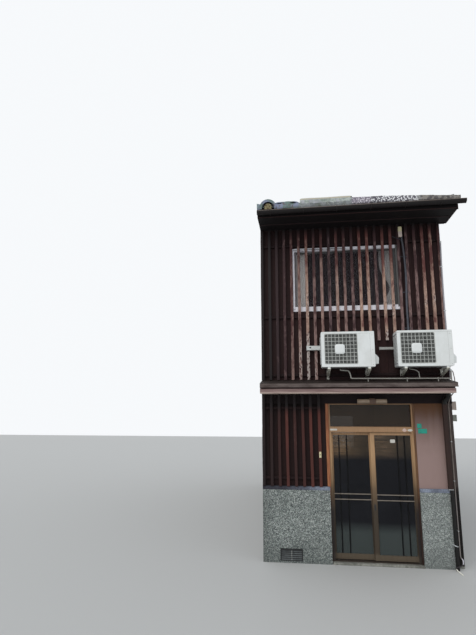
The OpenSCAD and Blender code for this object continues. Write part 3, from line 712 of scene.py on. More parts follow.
front_boards, rear_boards = Shape(), Shape()
for x0, x1 in ((-HALF_W, WINDOW[0]), (WINDOW[0], WINDOW[1]), (WINDOW[1], HALF_W)):
    boards(front_boards, x0, x1, round_window, 0.0)
    boards(rear_boards, x0, x1, round_window, HOUSE_D, 1)
boards(front_boards, -HALF_W, -0.451, lambda a, b: [(DADO_Z, 2.300)], 0.0)
front_boards.piece("front_wall_boards", BOARD_UP, "dark_boards")
rear_boards.piece("rear_wall_boards", BOARD_UP, "dark_boards")
for node in ("board_wall", "front_wall_upper", "rear_wall_upper"):
    repaint(node, BOARD_UP)
print("wall boards:", len(front_boards.points), "in front,", len(rear_boards.points), "behind")

# %% [markdown]
# The mineral finishes: a mauve sand plaster with rain stains and a painted shade under the ledge, washed chip
# render, cement, concrete and the plain mortar of the party walls. Plaster is nearly even, so most of its
# look is a fine sandy bump and two sizes of blotch. Chip render is made of crushed stones, so its colour
# comes from
# Voronoi cells, one cell to a stone.

# %% Mineral finishes


def plaster(name, base, stain, shade_top_z=None, fine=420.0):
    """Sand plaster: a base colour, blotches and runs towards the stain colour, and, with a shade_top_z, a
    painted shade that deepens to brown up to that height, with a ragged lower edge."""
    wall = Finish(name, rough=0.92, spec=0.2)
    broad = wall.noise(2.2, 4.0, (1.0, 1.0, 0.5))
    runs = wall.noise(16.0, 3.0, (1.0, 1.0, 0.04))
    wall.colour(wall.blend(base, stain, wall.ramp(broad, 0.42, 0.72, 0.0, 0.55)))
    wall.over(stain, wall.ramp(runs, 0.56, 0.72, 0.0, 0.35))
    if shade_top_z:
        ragged_z = wall.sum(wall.height(), wall.ramp(runs, 0.3, 0.7, -0.03, 0.03))
        # Painted shade: brown that deepens up to shade_top_z
        wall.over((88, 66, 56), wall.ramp(ragged_z, shade_top_z - 0.62, shade_top_z - 0.10, 0.0, 0.85))
        wall.over((104, 72, 47), wall.ramp(ragged_z, shade_top_z - 0.24, shade_top_z + 0.02, 0.0, 0.9))
    return wall.bump(wall.noise(fine, 3.0), 0.0012, 0.45).bump(broad, 0.003, 0.2)


def chips():
    """Washed chip render: grey, green and cream stones in grey cement, bigger ones here and there that are
    nearly white or dark, blotches of dirt, darker towards the foot, and a painted shade at the left end."""
    wall = Finish("washed_chips", rough=0.85, spec=0.25)
    small, large = wall.picks(104.0), wall.picks(90.0)
    edge = wall.cells(104.0, "DISTANCE_TO_EDGE")
    stones = wall.blend((114, 120, 119), (214, 220, 216), wall.ramp(small[0], 0.25, 0.9))
    stones = wall.blend(stones, (132, 146, 138), wall.ramp(small[1], 0.55, 0.8, 0.0, 0.7))
    stones = wall.blend(stones, (66, 70, 72), wall.ramp(small[2], 0.76, 0.84, 0.0, 0.9))
    wall.colour(wall.blend((118, 123, 121), stones, wall.ramp(edge, 0.02, 0.14)))
    wall.over((214, 218, 212), wall.ramp(large[0], 0.87, 0.91, 0.0, 0.6))
    wall.over((52, 56, 58), wall.ramp(large[1], 0.87, 0.91, 0.0, 0.9))
    dirt = wall.ramp(wall.noise(3.0, 4.0), 0.45, 0.75, 0.0, 0.30)
    wall.over((80, 86, 84), wall.sum(wall.along("Z", 0.42, 0.0, 0.0, 0.45), dirt))
    # Painted shade of the neighbour at the left end, and a little paler towards the right
    wall.tint((76, 80, 78), ("X", -1.25, -1.42, 0.0, 0.4)).tint((196, 200, 198), ("X", 0.6, 0.9, 0.0, 0.12))
    return wall.bump(wall.ramp(edge, 0.0, 0.25), 0.0025, 0.8)


def cement(name, light, dark, fine=55.0, shade=None):
    """Trowelled cement: two greys in blotches of two sizes, and pits. A shade covers the left end."""
    wall = Finish(name, rough=0.9, spec=0.2)
    blotches = wall.times(wall.noise(6.0, 5.0), wall.noise(fine, 4.0))
    wall.colour(wall.blend(dark, light, wall.ramp(blotches, 0.14, 0.40)))
    if shade:
        wall.tint(shade, ("X", -0.45, -1.10, 0.0, 0.88))
    return wall.bump(wall.noise(fine * 3, 4.0), 0.002, 0.4)


PLASTER = plaster("mauve_plaster", (155, 132, 127), (130, 108, 101), shade_top_z=2.30)
REAR_PLASTER = plaster("rear_plaster", (155, 132, 127), (128, 106, 100), shade_top_z=2.44)
MORTAR = plaster("party_mortar", (128, 124, 120), (98, 93, 89), fine=260.0)
CHIPS = chips()
CAP_CEMENT = cement("cap_cement", (152, 161, 178), (100, 105, 119), shade=(40, 36, 40))
STEP_CEMENT = cement("step_cement", (158, 158, 150), (108, 108, 102), 30.0)
repaint("plaster_wall", PLASTER)
repaint("rear_wall_lower", REAR_PLASTER)
repaint("left_party_wall", MORTAR)
repaint("right_party_wall", MORTAR)
softened("foundation", "ground_slab", STEP_CEMENT, 0.006)
softened("corner_post", "corner_strip", BROWN_BOARD, 0.002)
softened("lintel_beam", "door_lintel", BOARD_ACROSS, 0.003)
softened("door_posts", "door_post_timber", POST, 0.002)
print("mineral finishes ready")

# %% [markdown]
# The dado is real relief. Crushed stones stand out of the cement by about 2 mm, so its face is a fine grid of
# points pushed out by the nearest stone: each grid square of 13 mm holds one stone at a random place, and a
# point's height is a half circle of the distance to the nearest stone's middle. The vent is left out of the
# grid.

# %% Dado with its chips and cap
CHIP, CHIP_OUT, DADO_OUT, CAP_H = 0.0115, 0.0020, 0.060, 0.050
DADO_FACE, GRID_STEP, VENT_DEEP = -DADO_OUT + 0.001, 0.0055, 0.035
VENT = VENT_X0, VENT_X1, VENT_Z0, VENT_Z1 = -1.171, -0.841, 0.025, 0.200
QUAD = [np.array([[0, 1, 2, 3]])]


def stone_height(x, z, seed):
    """Height of the chips at points (x, z): CHIP_OUT times the square root of 1 - (d / r) squared, where d is
    the distance to the nearest stone and r the stone's radius, and 0 between stones."""
    best = np.full(x.shape, 9.0)
    i, k = np.floor(x / CHIP), np.floor(z / CHIP)
    for di in (-1, 0, 1):
        for dk in (-1, 0, 1):
            a, b = i + di, k + dk
            u = np.modf(np.abs(np.sin(a * 127.1 + b * 311.7 + seed) * 43758.5))[0]
            v = np.modf(np.abs(np.sin(a * 269.5 + b * 183.3 + seed) * 28001.8))[0]
            d = np.hypot((a + 0.2 + 0.6 * u) * CHIP - x, (b + 0.2 + 0.6 * v) * CHIP - z)
            best = np.minimum(best, d / (CHIP * (0.45 + 0.25 * u)))
    return CHIP_OUT * np.sqrt(np.clip(1 - best ** 2, 0, 1))


def dado(name, x0, x1, vent=None):
    """Front grid in relief, the two side faces, and a cement cap whose street edge is rounded. The grid
    leaves out the vent, whose recess has four walls and a back."""
    top = DADO_Z - CAP_H
    xs = np.linspace(x0, x1, int((x1 - x0) / GRID_STEP))
    zs = np.linspace(0, top, int(top / GRID_STEP))
    if vent:
        for line, edges in ((xs, vent[:2]), (zs, vent[2:])):
            for edge in edges:
                line[np.abs(line - edge).argmin()] = edge
    x, z = np.meshgrid(xs, zs)
    rim = np.minimum.reduce([x - x0, x1 - x, z, top - z])
    y = np.where(rim < 0.002, DADO_FACE, DADO_FACE - stone_height(x, z, 3.0))
    points = np.stack([x, y, z], axis=-1)
    faces = grid_faces(*x.shape)
    if vent:
        mid_x, _, mid_z = points.reshape(-1, 3)[faces].mean(axis=1).T
        faces = faces[(mid_x < vent[0]) | (mid_x > vent[1]) | (mid_z < vent[2]) | (mid_z > vent[3])]
    panel = Shape().add(points, [faces])
    for x_side, order in ((x0, (0, 1, 2, 3)), (x1, (3, 2, 1, 0))):
        side = [(x_side, -0.001, 0), (x_side, DADO_FACE, 0), (x_side, DADO_FACE, top), (x_side, -0.001, top)]
        panel.add(side, [np.array([order])])
    if vent:
        back = DADO_FACE + VENT_DEEP
        ring = [(vent[0], vent[2]), (vent[1], vent[2]), (vent[1], vent[3]), (vent[0], vent[3])]
        for a, b in zip(ring, ring[1:] + ring[:1]):
            panel.add([(a[0], DADO_FACE, a[1]), (b[0], DADO_FACE, b[1]), (b[0], back, b[1]),
                (a[0], back, a[1])], QUAD)
        panel.add([(a, back, b) for a, b in ring], QUAD)
    panel.piece(name + "_chips", CHIPS, "pebble_render", name)
    turn = np.linspace(0, np.pi / 2, 6)
    r, edge_y = 0.018, -DADO_OUT - 0.006
    corner = [(edge_y + r - r * math.sin(t), DADO_Z - r + r * math.cos(t)) for t in turn]
    outline = [(0.0, top), (0.0, DADO_Z)] + corner + [(edge_y, top + 0.004), (edge_y + 0.004, top)]
    cap = Shape().add(*extruded(outline[::-1], (x0, 0, 0), (x1 - x0, 0, 0)))
    cap.piece(name + "_cap", CAP_CEMENT, "pebble_render")


dado("dado_left", -HALF_W, -0.417, VENT)
dado("dado_right", 0.872, 1.340)

# %% [markdown]
# Sheet metal and paint. The vent is a pressed louvre in a frame, darker than the wall round it. The ledge has
# a plastered front board whose lower edge has worn pale, a dark groove, and a folded sheet cap with a rolled
# hem.

# %% Metal and paint finishes


def painted(name, base, worn, rough=0.5, metal=0.0, streak=0.5, spec=0.4, scale=14.0):
    """Paint or bare metal with faint blotches, which also change its roughness, and grime that runs down."""
    coat = Finish(name, rough=rough, metal=metal, spec=spec)
    blotches = coat.noise(scale, 5.0)
    runs = coat.noise(30.0, 4.0, (1.0, 1.0, 0.06))
    coat.colour(coat.blend(base, worn, coat.ramp(blotches, 0.45, 0.75, 0.0, 0.6)))
    coat.over(worn, coat.ramp(runs, 0.55, 0.75, 0.0, streak))
    coat.roughness(coat.ramp(blotches, 0.3, 0.7, rough * 0.85, min(1.0, rough * 1.25)))
    return coat.bump(coat.noise(160.0, 3.0), 0.0003, 0.3)


def ledge_board():
    """The ledge's front board: dusty mauve paint that has worn to pale wood along the lower edge, and a
    painted shade along its top under the cap.
    """
    paint = Finish("ledge_board", rough=0.85, spec=0.2)
    streaks = grain(paint, "X", 60.0)
    paint.colour(paint.blend((122, 98, 96), (164, 141, 136), paint.ramp(streaks, 0.3, 0.7)))
    paint.over((200, 182, 170), paint.times(paint.along("Z", 2.472, 2.452), paint.ramp(streaks, 0.25, 0.55)))
    # Painted shade along the board's top, under the cap's hem
    return paint.tint((66, 50, 48), ("Z", 2.512, 2.520, 0.0, 0.9)).bump(streaks, 0.0012, 0.5)


def ledge_sheet():
    """Dusty brown-grey sheet. Its sloping upper face is nearly black with soot, and the street edge is
    cleaner: the face is told from the edge by how far a point lies below the slope's height at its Y."""
    sheet = Finish("ledge_sheet", rough=0.65, spec=0.3)
    blotches = sheet.noise(5.0, 5.0, (1.0, 3.0, 3.0))
    sheet.colour(sheet.blend((104, 93, 89), (74, 63, 60), sheet.ramp(blotches, 0.42, 0.68)))
    slope_z = sheet.sum(sheet.times(sheet.height("Y"), CAP_SLOPE), CAP_TOP)
    upper = sheet.ramp(sheet.sum(slope_z, sheet.height(), "SUBTRACT"), 0.008, 0.003)
    sheet.over(sheet.blend((47, 37, 33), (29, 23, 21), blotches), upper)
    return sheet.bump(sheet.noise(60.0, 3.0), 0.0005, 0.3)


LEDGE_BOARD = ledge_board()
LEDGE_CAP = ledge_sheet()
DARK_METAL = painted("dark_metal", (40, 41, 43), (66, 66, 66), 0.6)
VENT_METAL = painted("vent_metal", (86, 90, 91), (34, 36, 37), 0.6)
# A brighter line down the middle
VENT_METAL.tint((138, 140, 138), ("X", -1.014, -1.013), ("X", -0.998, -0.999))
GALVANISED = painted("galvanised", (206, 204, 194), (150, 142, 130), 0.5)
softened("ledge", "ledge_front", LEDGE_BOARD, 0.003)
WHITE_TRACK = painted("white_track", (226, 226, 222), (190, 188, 180), 0.5)
softened("curtain_rail", "curtain_track", WHITE_TRACK, 0.002)

CAP_LIP, CAP_X1, JOINT_W = 0.025, 1.403, 0.022


def cap_top(y):
    """Height of the sheet cap's upper face at a Y: it rises 150 mm to the metre towards the wall."""
    return CAP_TOP + y * CAP_SLOPE


def ledge_cap():
    """The cap in cross-section, carried along the front: a slab whose street edge has a rolled hem below and
    a small turned edge above, with flat standing joints every 0.9 m that are pressed over to one side."""
    y0 = -LEDGE_OUT - CAP_LIP
    edge, wall = cap_top(y0), cap_top(0.0)
    low = edge - CAP_T
    turn = np.linspace(np.pi * 1.5, np.pi * 0.75, 6)
    hem = [(y0 + 0.010 * math.cos(t), low + 0.008 + 0.008 * math.sin(t)) for t in turn]
    upper = [(y0 + 0.003, low + 0.019), (y0 + 0.003, edge - 0.010), (y0, edge - 0.004), (y0 + 0.006, edge),
        (0.0, wall)]
    outline = [(0.0, wall - CAP_T), (y0 + 0.016, low + 0.001)] + hem + upper
    shape = Shape().add(*extruded(outline, (-HALF_W, 0, 0), (HALF_W + CAP_X1, 0, 0)))
    joint = [(y0 + 0.004, edge - 0.001), (y0 + 0.004, edge + 0.004), (-0.002, wall + 0.004),
        (-0.002, wall - 0.001)]
    for x in (-0.62, 0.28, 1.08):
        shape.add(*extruded(joint, (x, 0, 0), (JOINT_W, 0, 0)))
    return shape


ledge_cap().piece("ledge_sheet_cap", LEDGE_CAP, "ledge_metal", "ledge_cap")

louvre_frame, louvre = Shape(), Shape()
low, high, back = VENT_Z0 + 0.008, VENT_Z1 - 0.030, -DADO_OUT + VENT_DEEP
# The frame's dark metal, with its band 30 mm deep along the top, paints the shade inside the vent's recess
louvre_frame.box((VENT_X0 + 0.001, back - 0.003, VENT_Z0 + 0.001),
    (VENT_X1 - 0.001, back - 0.001, VENT_Z1 - 0.001), 0.0005)
for x0, x1, z0, z1 in ((VENT_X0, VENT_X1, VENT_Z0, low), (VENT_X0, VENT_X1, high, VENT_Z1),
        (VENT_X0, VENT_X0 + 0.010, low, high), (VENT_X1 - 0.014, VENT_X1, low, high)):
    louvre_frame.box((x0, back - 0.020, z0), (x1, back - 0.001, z1), 0.0015)
louvre.box((-1.009, back - 0.021, low), (-1.003, back - 0.002, high), 0.001)
blade = [(-0.016, -0.008), (-0.014, -0.009), (0.0, 0.005), (-0.002, 0.007)]
for z in np.linspace(low + 0.012, high - 0.014, 5):
    louvre.add(*extruded(blade, (VENT_X0 + 0.010, back - 0.002, z), (0.306, 0, 0)))
louvre_frame.piece("vent_frame_painted_shade", DARK_METAL, "dark_metal", "vent_grille")
louvre.piece("vent_louvre", VENT_METAL, "dark_metal")
print("ledge and vent done")

# %% [markdown]
# The entrance. Its frame is aluminium with a wood-tone coat. Out of the rain, high up, the coat is still tan,
# and towards the ground it has darkened to brown, so the colour follows the height. Every sliding leaf is
# built from its members: two stiles, a top and a bottom rail, glazing beads, two upright bars and a pair of
# crossbars.

# %% Entrance frame and leaves


def wood_tone(name, low, foot):
    """Tan coat above, darker below and a colour of its own at the foot, with dirt in streaks: the colour
    follows the height in five stretches."""
    coat = Finish(name, rough=0.5, spec=0.4)
    streaks = grain(coat, "Z", 70.0)
    coat.colour(coat.blend(foot, low, coat.along("Z", 0.12, 0.16)))
    for shade, none_z, full_z in (((122, 98, 72), 0.72, 1.16), ((182, 146, 108), 1.05, 1.55),
            ((168, 132, 98), 1.78, 1.88)):
        coat.tint(shade, ("Z", none_z, full_z))
    coat.over((66, 50, 42), coat.ramp(streaks, 0.52, 0.78, 0.0, 0.5))
    return coat.roughness(coat.ramp(streaks, 0.3, 0.7, 0.42, 0.65)).bump(streaks, 0.0004, 0.4)


WOOD_TONE = wood_tone("wood_tone_coat", (61, 51, 39), (88, 77, 62))
FRAME_TONE = wood_tone("frame_coat", (40, 32, 30), (54, 46, 40))
BAR_METAL = painted("bar_metal", (25, 25, 26), (17, 17, 18), 0.8, spec=0.1)
CROSSBAR = painted("crossbar_metal", (136, 128, 118), (96, 84, 72), 0.45, metal=0.2)
LEAF_W, LEAF_T, LEAF_Z0, LEAF_Z1 = 0.618, 0.030, 0.050, 1.865
TOP_RAIL, BOTTOM_RAIL = 0.031, 0.074
GLASS_Z0, GLASS_Z1 = LEAF_Z0 + BOTTOM_RAIL, LEAF_Z1 - TOP_RAIL
BAR_Z, BEAD, BAR_HALF, CROSS_HALF = (0.886, 0.965), 0.006, 0.0085, 0.0065


def sliding_leaf(name, body, x0, y0, left_stile, right_stile, uprights):
    """One leaf: blocks for its members, a raised strip along its bottom rail, thin beads round the glass on
    both faces, and the bars, which stand just in front of the glass."""
    x1, y1 = x0 + LEAF_W, y0 + LEAF_T
    g0, g1 = x0 + left_stile, x1 - right_stile
    pane = y0 + LEAF_T / 2 - 0.003
    inner = GLASS_Z0 + BEAD, GLASS_Z1 - BEAD
    members = Shape()
    for low, high in ((x0, g0), (g1, x1)):
        members.box((low, y0, LEAF_Z0), (high, y1, LEAF_Z1), 0.0018)
    for low, high in ((LEAF_Z0 + 0.002, GLASS_Z0), (GLASS_Z1, LEAF_Z1)):
        members.box((g0, y0 + 0.001, low), (g1, y1 - 0.001, high), 0.0015)
    members.box((g0, y0 - 0.001, LEAF_Z0 + 0.022), (g1, y0 + 0.003, LEAF_Z0 + 0.030), 0.001)
    for left, right, low, high in ((g0, g0 + BEAD, GLASS_Z0, GLASS_Z1), (g1 - BEAD, g1, GLASS_Z0, GLASS_Z1),
            (g0 + BEAD, g1 - BEAD, GLASS_Z0, inner[0]), (g0 + BEAD, g1 - BEAD, inner[1], GLASS_Z1)):
        members.box((left, y0 + 0.004, low), (right, pane + 0.0005, high), 0.001)
        members.box((left, pane + 0.0055, low), (right, y1 - 0.004, high), 0.001)
    members.piece(name + "_members", WOOD_TONE, "wood_tone_aluminium", name, body)
    bars, cross = Shape(), Shape()
    for x in (g0 + offset for offset in uprights):
        bars.box((x - BAR_HALF, pane - 0.009, inner[0]), (x + BAR_HALF, pane - 0.0005, inner[1]), 0.0012)
    for z in BAR_Z:
        cross.box((g0, pane - 0.011, z - CROSS_HALF), (g1, pane - 0.0005, z + CROSS_HALF), 0.0015)
    bars.piece(name + "_uprights", BAR_METAL, "wood_tone_aluminium", body=body)
    cross.piece(name + "_crossbars", CROSSBAR, "wood_tone_aluminium", body=body)


LEFT_X, RIGHT_X, FRONT_TRACK, BACK_TRACK = -0.378, 0.203, 0.022, 0.058
sliding_leaf("left_door", LEFT_LEAF, LEFT_X, BACK_TRACK, 0.026, 0.046, (0.095, 0.210))
sliding_leaf("right_door", RIGHT_LEAF, RIGHT_X, FRONT_TRACK, 0.062, 0.016, (0.337, 0.442))


def door_lock():
    """An escutcheon plate with a round cylinder and a small pull below it, on the meeting stile."""
    x, y, z = RIGHT_X + 0.032, FRONT_TRACK - 0.002, 0.7875
    shape = Shape().box((x - 0.012, FRONT_TRACK - 0.003, 0.745), (x + 0.012, FRONT_TRACK + 0.001, 0.830),
        0.001)
    shape.rod((x, y, z + 0.016), (x, FRONT_TRACK - 0.007, z + 0.016), 0.008, 16)
    return shape.rod((x, y, z - 0.020), (x, FRONT_TRACK - 0.005, z - 0.020), 0.006, 12)


door_lock().piece("door_lock_plate", DARK_METAL, "dark_metal", "door_lock", RIGHT_LEAF)
softened("door_frame", "entrance_frame", FRAME_TONE, 0.002)
frame_trim = Shape()
for x in (-0.394, 0.826, 0.838):
    frame_trim.box((x - 0.0025, -0.003, 0.045), (x + 0.0025, 0.001, 2.296), 0.001)
for z in (1.874, 1.948):
    frame_trim.box((-0.383, -0.004, z), (0.826, 0.001, z + 0.006), 0.0015)
frame_trim.piece("entrance_frame_beads", FRAME_TONE, "wood_tone_aluminium")
print("entrance done")

# %% [markdown]
# Glass. The panes are clear, but the room behind is dark, so by day they look nearly black. A pane is a thin
# glossy film of dark tint that lets part of what is behind it through. A grey painted reflection of the
# street lies on the lower third of the doors, and a brown painted reflection on their upper part.

# %% Glass


def glass(name, tint, alpha, reflection=None, reflection_x=None):
    """Dark glossy film with some alpha. Where it is given, reflection is a brown painted reflection over the
    upper part of a door's pane, fading from the first to the second X of reflection_x, and a grey painted
    reflection of the street thickens to the pane's foot."""
    pane = Finish(name, rough=0.06, spec=0.22, alpha=alpha)
    smear = pane.noise(2.5, 3.0, (1.0, 1.0, 0.6))
    pane.colour(pane.blend(tint, [c + 10 for c in tint], pane.ramp(smear, 0.35, 0.7)))
    if reflection:
        # Painted reflections: brown ones in ripples on the upper pane, and a grey one of the street at the
        # foot
        ripples = pane.noise(40.0, 3.0, (0.08, 1.0, 1.0))
        reach = pane.times(pane.along("Z", 1.46, 1.58), pane.ramp(smear, 0.2, 0.5, 0.6, 1.0))
        strength = pane.times(pane.ramp(ripples, 0.36, 0.60, 0.40, 1.0), pane.along("X", *reflection_x, 1.0, 0.25))
        street_reflection = pane.along("Z", 0.57, 0.42, 0.0, 0.95)
        pane.over(pane.blend((44, 42, 38), reflection, strength), reach).over((70, 77, 76), street_reflection)
        pane.roughness(pane.ramp(street_reflection, 0.0, 1.0, 0.05, 0.22))
    return pane


LEFT_GLASS = glass("left_door_glass_film", (22, 23, 28), 0.80, (120, 98, 76), (-0.24, 0.12))
RIGHT_GLASS = glass("right_door_glass_film", (22, 23, 28), 0.80, (104, 87, 71), (0.40, 0.74))
TRANSOM_GLASS = glass("transom_glass_film", (50, 39, 28), 0.85)
WINDOW_GLASS = glass("window_glass_film", (104, 96, 102), 0.16)
# The glass is painted pale where the curtains hang behind it, a painted light over them
curtain_light = WINDOW_GLASS.along("X", -0.690, -0.700)
curtain_light = WINDOW_GLASS.sum(curtain_light, WINDOW_GLASS.along("X", 0.58, 0.66, 0.0, 0.75))
WINDOW_GLASS.over((250, 244, 240), curtain_light)
FLOOR_BOARD = dark_board("floor_board", "Y", (128, 100, 72), (92, 70, 50))
repaint("left_door_glass", LEFT_GLASS)
repaint("right_door_glass", RIGHT_GLASS)
repaint("transom_glass", TRANSOM_GLASS)
repaint("upper_window_glass", WINDOW_GLASS)
repaint("rear_window_glass", WINDOW_GLASS)
repaint("upper_floor", FLOOR_BOARD)
print("glass done")

# %% [markdown]
# The windows are anodised aluminium sliding windows. Each has an outer frame, two sashes that pass each other
# and a thick bottom rail. The frame is bright, while the sash stiles behind it are duller.

# %% Windows
BRIGHT_ALUMINIUM = painted("bright_aluminium", (248, 247, 254), (214, 212, 218), 0.35, streak=0.3)
DULL_ALUMINIUM = painted("dull_aluminium", (66, 68, 68), (44, 46, 46), 0.45, streak=0.3)
# The right jamb is painted darker for its slat's shade, and the left sash stile is bleached
BRIGHT_ALUMINIUM.tint((108, 105, 105), ("X", 0.738, 0.740), ("Z", 3.80, 3.81))
DULL_ALUMINIUM.tint((126, 122, 126), ("X", -0.836, -0.842))
# The lower lip of the head catches the light
DULL_ALUMINIUM.tint((214, 210, 214), ("Z", 4.769, 4.771), ("Z", 4.783, 4.781))
SASH_W, SASH_T, SASH_FOOT, SASH_HEAD, SASH_Y = 0.040, 0.022, 0.070, 0.045, (0.030, 0.008)
FRAME_W, FRAME_Y0, FRAME_Y1, HEAD_LINE = 0.036, -0.018, 0.082, 0.017


def sliding_window(frame_shape, sash_shape, x0, z0, w, h, y_of):
    """Frame members and two sashes as blocks. y_of turns a depth behind the wall face into Y, so that the
    same window serves the front and the back of the house."""
    def member(shape, low, high):
        shape.box((low[0], y_of(low[1]), low[2]), (high[0], y_of(high[1]), high[2]), 0.0015)

    x1, z1 = x0 + w, z0 + h
    in0, in1, low, high = x0 + FRAME_W, x1 - FRAME_W, z0 + FRAME_W, z1 - FRAME_W
    member(frame_shape, (x0, FRAME_Y0, z0), (in0, FRAME_Y1, z1))
    member(frame_shape, (x0, -0.028, low), (in0 + 0.010, -0.017, high))
    member(frame_shape, (in1, FRAME_Y0, z0), (x1, FRAME_Y1, z1))
    member(frame_shape, (in0, FRAME_Y0, z0), (in1, FRAME_Y1, low))
    # The head: a bright lip along its top, and the dull channel that the sashes run in
    member(frame_shape, (in0, FRAME_Y0, z1 - HEAD_LINE), (in1, FRAME_Y1, z1))
    member(sash_shape, (in0, -0.008, high), (in1, 0.081, z1 - HEAD_LINE))
    half = (w - 2 * FRAME_W + SASH_W) / 2
    for right in (0, 1):
        s0 = in0 + right * (w - 2 * FRAME_W - half)
        y0 = SASH_Y[right]
        y1 = y0 + SASH_T
        member(sash_shape, (s0, y0, low), (s0 + SASH_W, y1, high))
        member(sash_shape, (s0 + half - SASH_W, y0, low), (s0 + half, y1, high))
        member(frame_shape, (s0 + SASH_W, y0, low), (s0 + half - SASH_W, y1, z0 + SASH_FOOT))
        member(frame_shape, (s0, -0.012, low + 0.001), (s0 + half, y0 + 0.001, z0 + SASH_FOOT + 0.008))
        member(sash_shape, (s0 + SASH_W, y0, high - SASH_HEAD), (s0 + half - SASH_W, y1, high))
        # A bright strip on the sash's head: narrow on the left one, as deep as the channel on the right one
        strip = (z1 - HEAD_LINE, z1 - 0.048) if right else (z1 - 0.028, z1 - 0.028 - HEAD_LINE)
        member(frame_shape, (s0 + right * 0.02, -0.016, strip[1]),
            (s0 + half - (1 - right) * 0.03, y0 + 0.001, strip[0]))


upper_frame, upper_sash, rear_frame, rear_sash = Shape(), Shape(), Shape(), Shape()
WINDOW_W, WINDOW_H = WINDOW[1] - WINDOW[0], 1.060
sliding_window(upper_frame, upper_sash, WINDOW[0], WINDOW[2], WINDOW_W, WINDOW_H, lambda y: y)
for z0 in (1.000, WINDOW[2]):
    sliding_window(rear_frame, rear_sash, WINDOW[0], z0, WINDOW_W, WINDOW_H, lambda y: HOUSE_D - y)
upper_frame.piece("upper_window_frame", BRIGHT_ALUMINIUM, "silver_aluminium", "upper_window")
upper_sash.piece("upper_window_stiles", DULL_ALUMINIUM, "silver_aluminium")
rear_frame.piece("rear_window_frames", BRIGHT_ALUMINIUM, "silver_aluminium", "rear_windows")
rear_sash.piece("rear_window_stiles", DULL_ALUMINIUM, "silver_aluminium")
print("windows done")

# %% [markdown]
# Two gathered curtains hang inside the upper window. Gathered cloth keeps its width by folding: the cloth
# here runs along a wave, and the wave's depth is what the spare width gives. The right one is held back at
# mid height, so it narrows there and fans out again below.

# %% Curtains
CURTAIN_Y, CURTAIN_TOP, CURTAIN_FOOT, FOLD, CLOTH_T = 0.170, 4.863, 3.683, 0.032, 0.0012


def curtain_cloth():
    """Pale woven cloth: two sets of fine threads as stretched noise, and a little sheen."""
    cloth = Finish("curtain_cloth", rough=0.95, spec=0.1)
    cloth.shader.inputs["Sheen Weight"].default_value = 0.3
    weave = cloth.sum(cloth.noise(900.0, 2.0, (1.0, 1.0, 0.2)), cloth.noise(900.0, 2.0, (0.2, 1.0, 1.0)))
    cloth.colour(cloth.blend((232, 230, 228), (246, 245, 244), cloth.ramp(weave, 0.7, 1.3)))
    cloth.over((206, 200, 204), cloth.ramp(cloth.noise(5.0, 3.0), 0.5, 0.8, 0.0, 0.6))
    return cloth.bump(weave, 0.0006, 0.5)


CLOTH = curtain_cloth()


def curtain(name, left, right, folds, tie=None):
    """x runs from left(z) to right(z); y waves FOLD deep, folds times, a bit unevenly; with a tie the cloth
    is drawn towards the right at that height. The depth of the wave shrinks where the cloth is spread."""
    share, z = np.meshgrid(np.linspace(0, 1, folds * 14 + 1), np.linspace(CURTAIN_FOOT, CURTAIN_TOP, 48))
    pull = np.zeros_like(z) if tie is None else np.exp(-((z - tie) / 0.20) ** 2) * 0.62
    x0 = left + (right - left) * pull
    phase = 2 * np.pi * folds * (share + 0.02 * np.sin(5 * share + 2 * z))
    x = x0 + (right - x0) * share + 0.004 * np.sin(2 * phase)
    depth = FOLD * (0.75 + 0.15 * np.sin(3 * z + 9 * share)) * (1 - 0.4 * pull)
    y = CURTAIN_Y + depth * np.sin(phase)
    points = np.stack([x, y, z], axis=-1)
    shape = Shape().add(points, [grid_faces(*z.shape)])
    piece = shape.piece(name, CLOTH, "curtain_cloth", "curtains", smooth=True)
    width = np.linalg.norm(np.diff(points, axis=1), axis=-1).sum(axis=1).max()
    across, down = np.diff(points, axis=1)[:-1], np.diff(points, axis=0)[:, :-1]
    area = np.linalg.norm(np.cross(across, down), axis=-1).sum()
    body = piece.modifiers.new("cloth", "SOLIDIFY")
    body.thickness = CLOTH_T
    body.offset = 0.0


curtain("curtain_left", -0.860, -0.699, 4)
curtain("curtain_right", 0.505, 0.755, 6, tie=4.16)

# %% [markdown]
# The two outdoor units. The case is pressed sheet with soft edges, a recess for the fan under a square wire
# grille, and fins down its left side. A fan blade is a surface: it starts at the hub, widens outwards and
# turns about its own length, so that one edge stands forward.

# %% Outdoor units
UNIT_X, UNIT_Z, UNIT_Y = (-0.497, 0.610), 2.836, -0.400
UNIT_W, UNIT_H, UNIT_D = 0.782, 0.528, 0.285
GRILLE_X, GRILLE_Z, GRILLE_W, GRILLE_H = 0.047, 0.040, 0.488, 0.458
HUB_X, HUB_Z, HUB_S, FAN_R = 0.274, 0.264, 0.148, 0.205
WELL_Y0, WELL_Y1, MESH_X, MESH_Z = UNIT_Y + 0.008, UNIT_Y + 0.200, 9, 8
ARMS, ARM_W = (0.088, 0.676), 0.040
WIRE = painted("grille_wire", (184, 186, 182), (152, 154, 148), 0.5)
FINE_WIRE = painted("grille_fine_wire", (136, 138, 134), (104, 106, 102), 0.5)
WELL = painted("fan_well", (94, 97, 94), (66, 68, 67), 0.6)
SHEET_LINE = painted("sheet_line", (150, 152, 148), (120, 122, 118), 0.6)


def enamel(name):
    """White enamel on pressed sheet."""
    return painted(name, (233, 236, 235), (208, 209, 205), 0.42, streak=0.25, spec=0.45, scale=4.0)


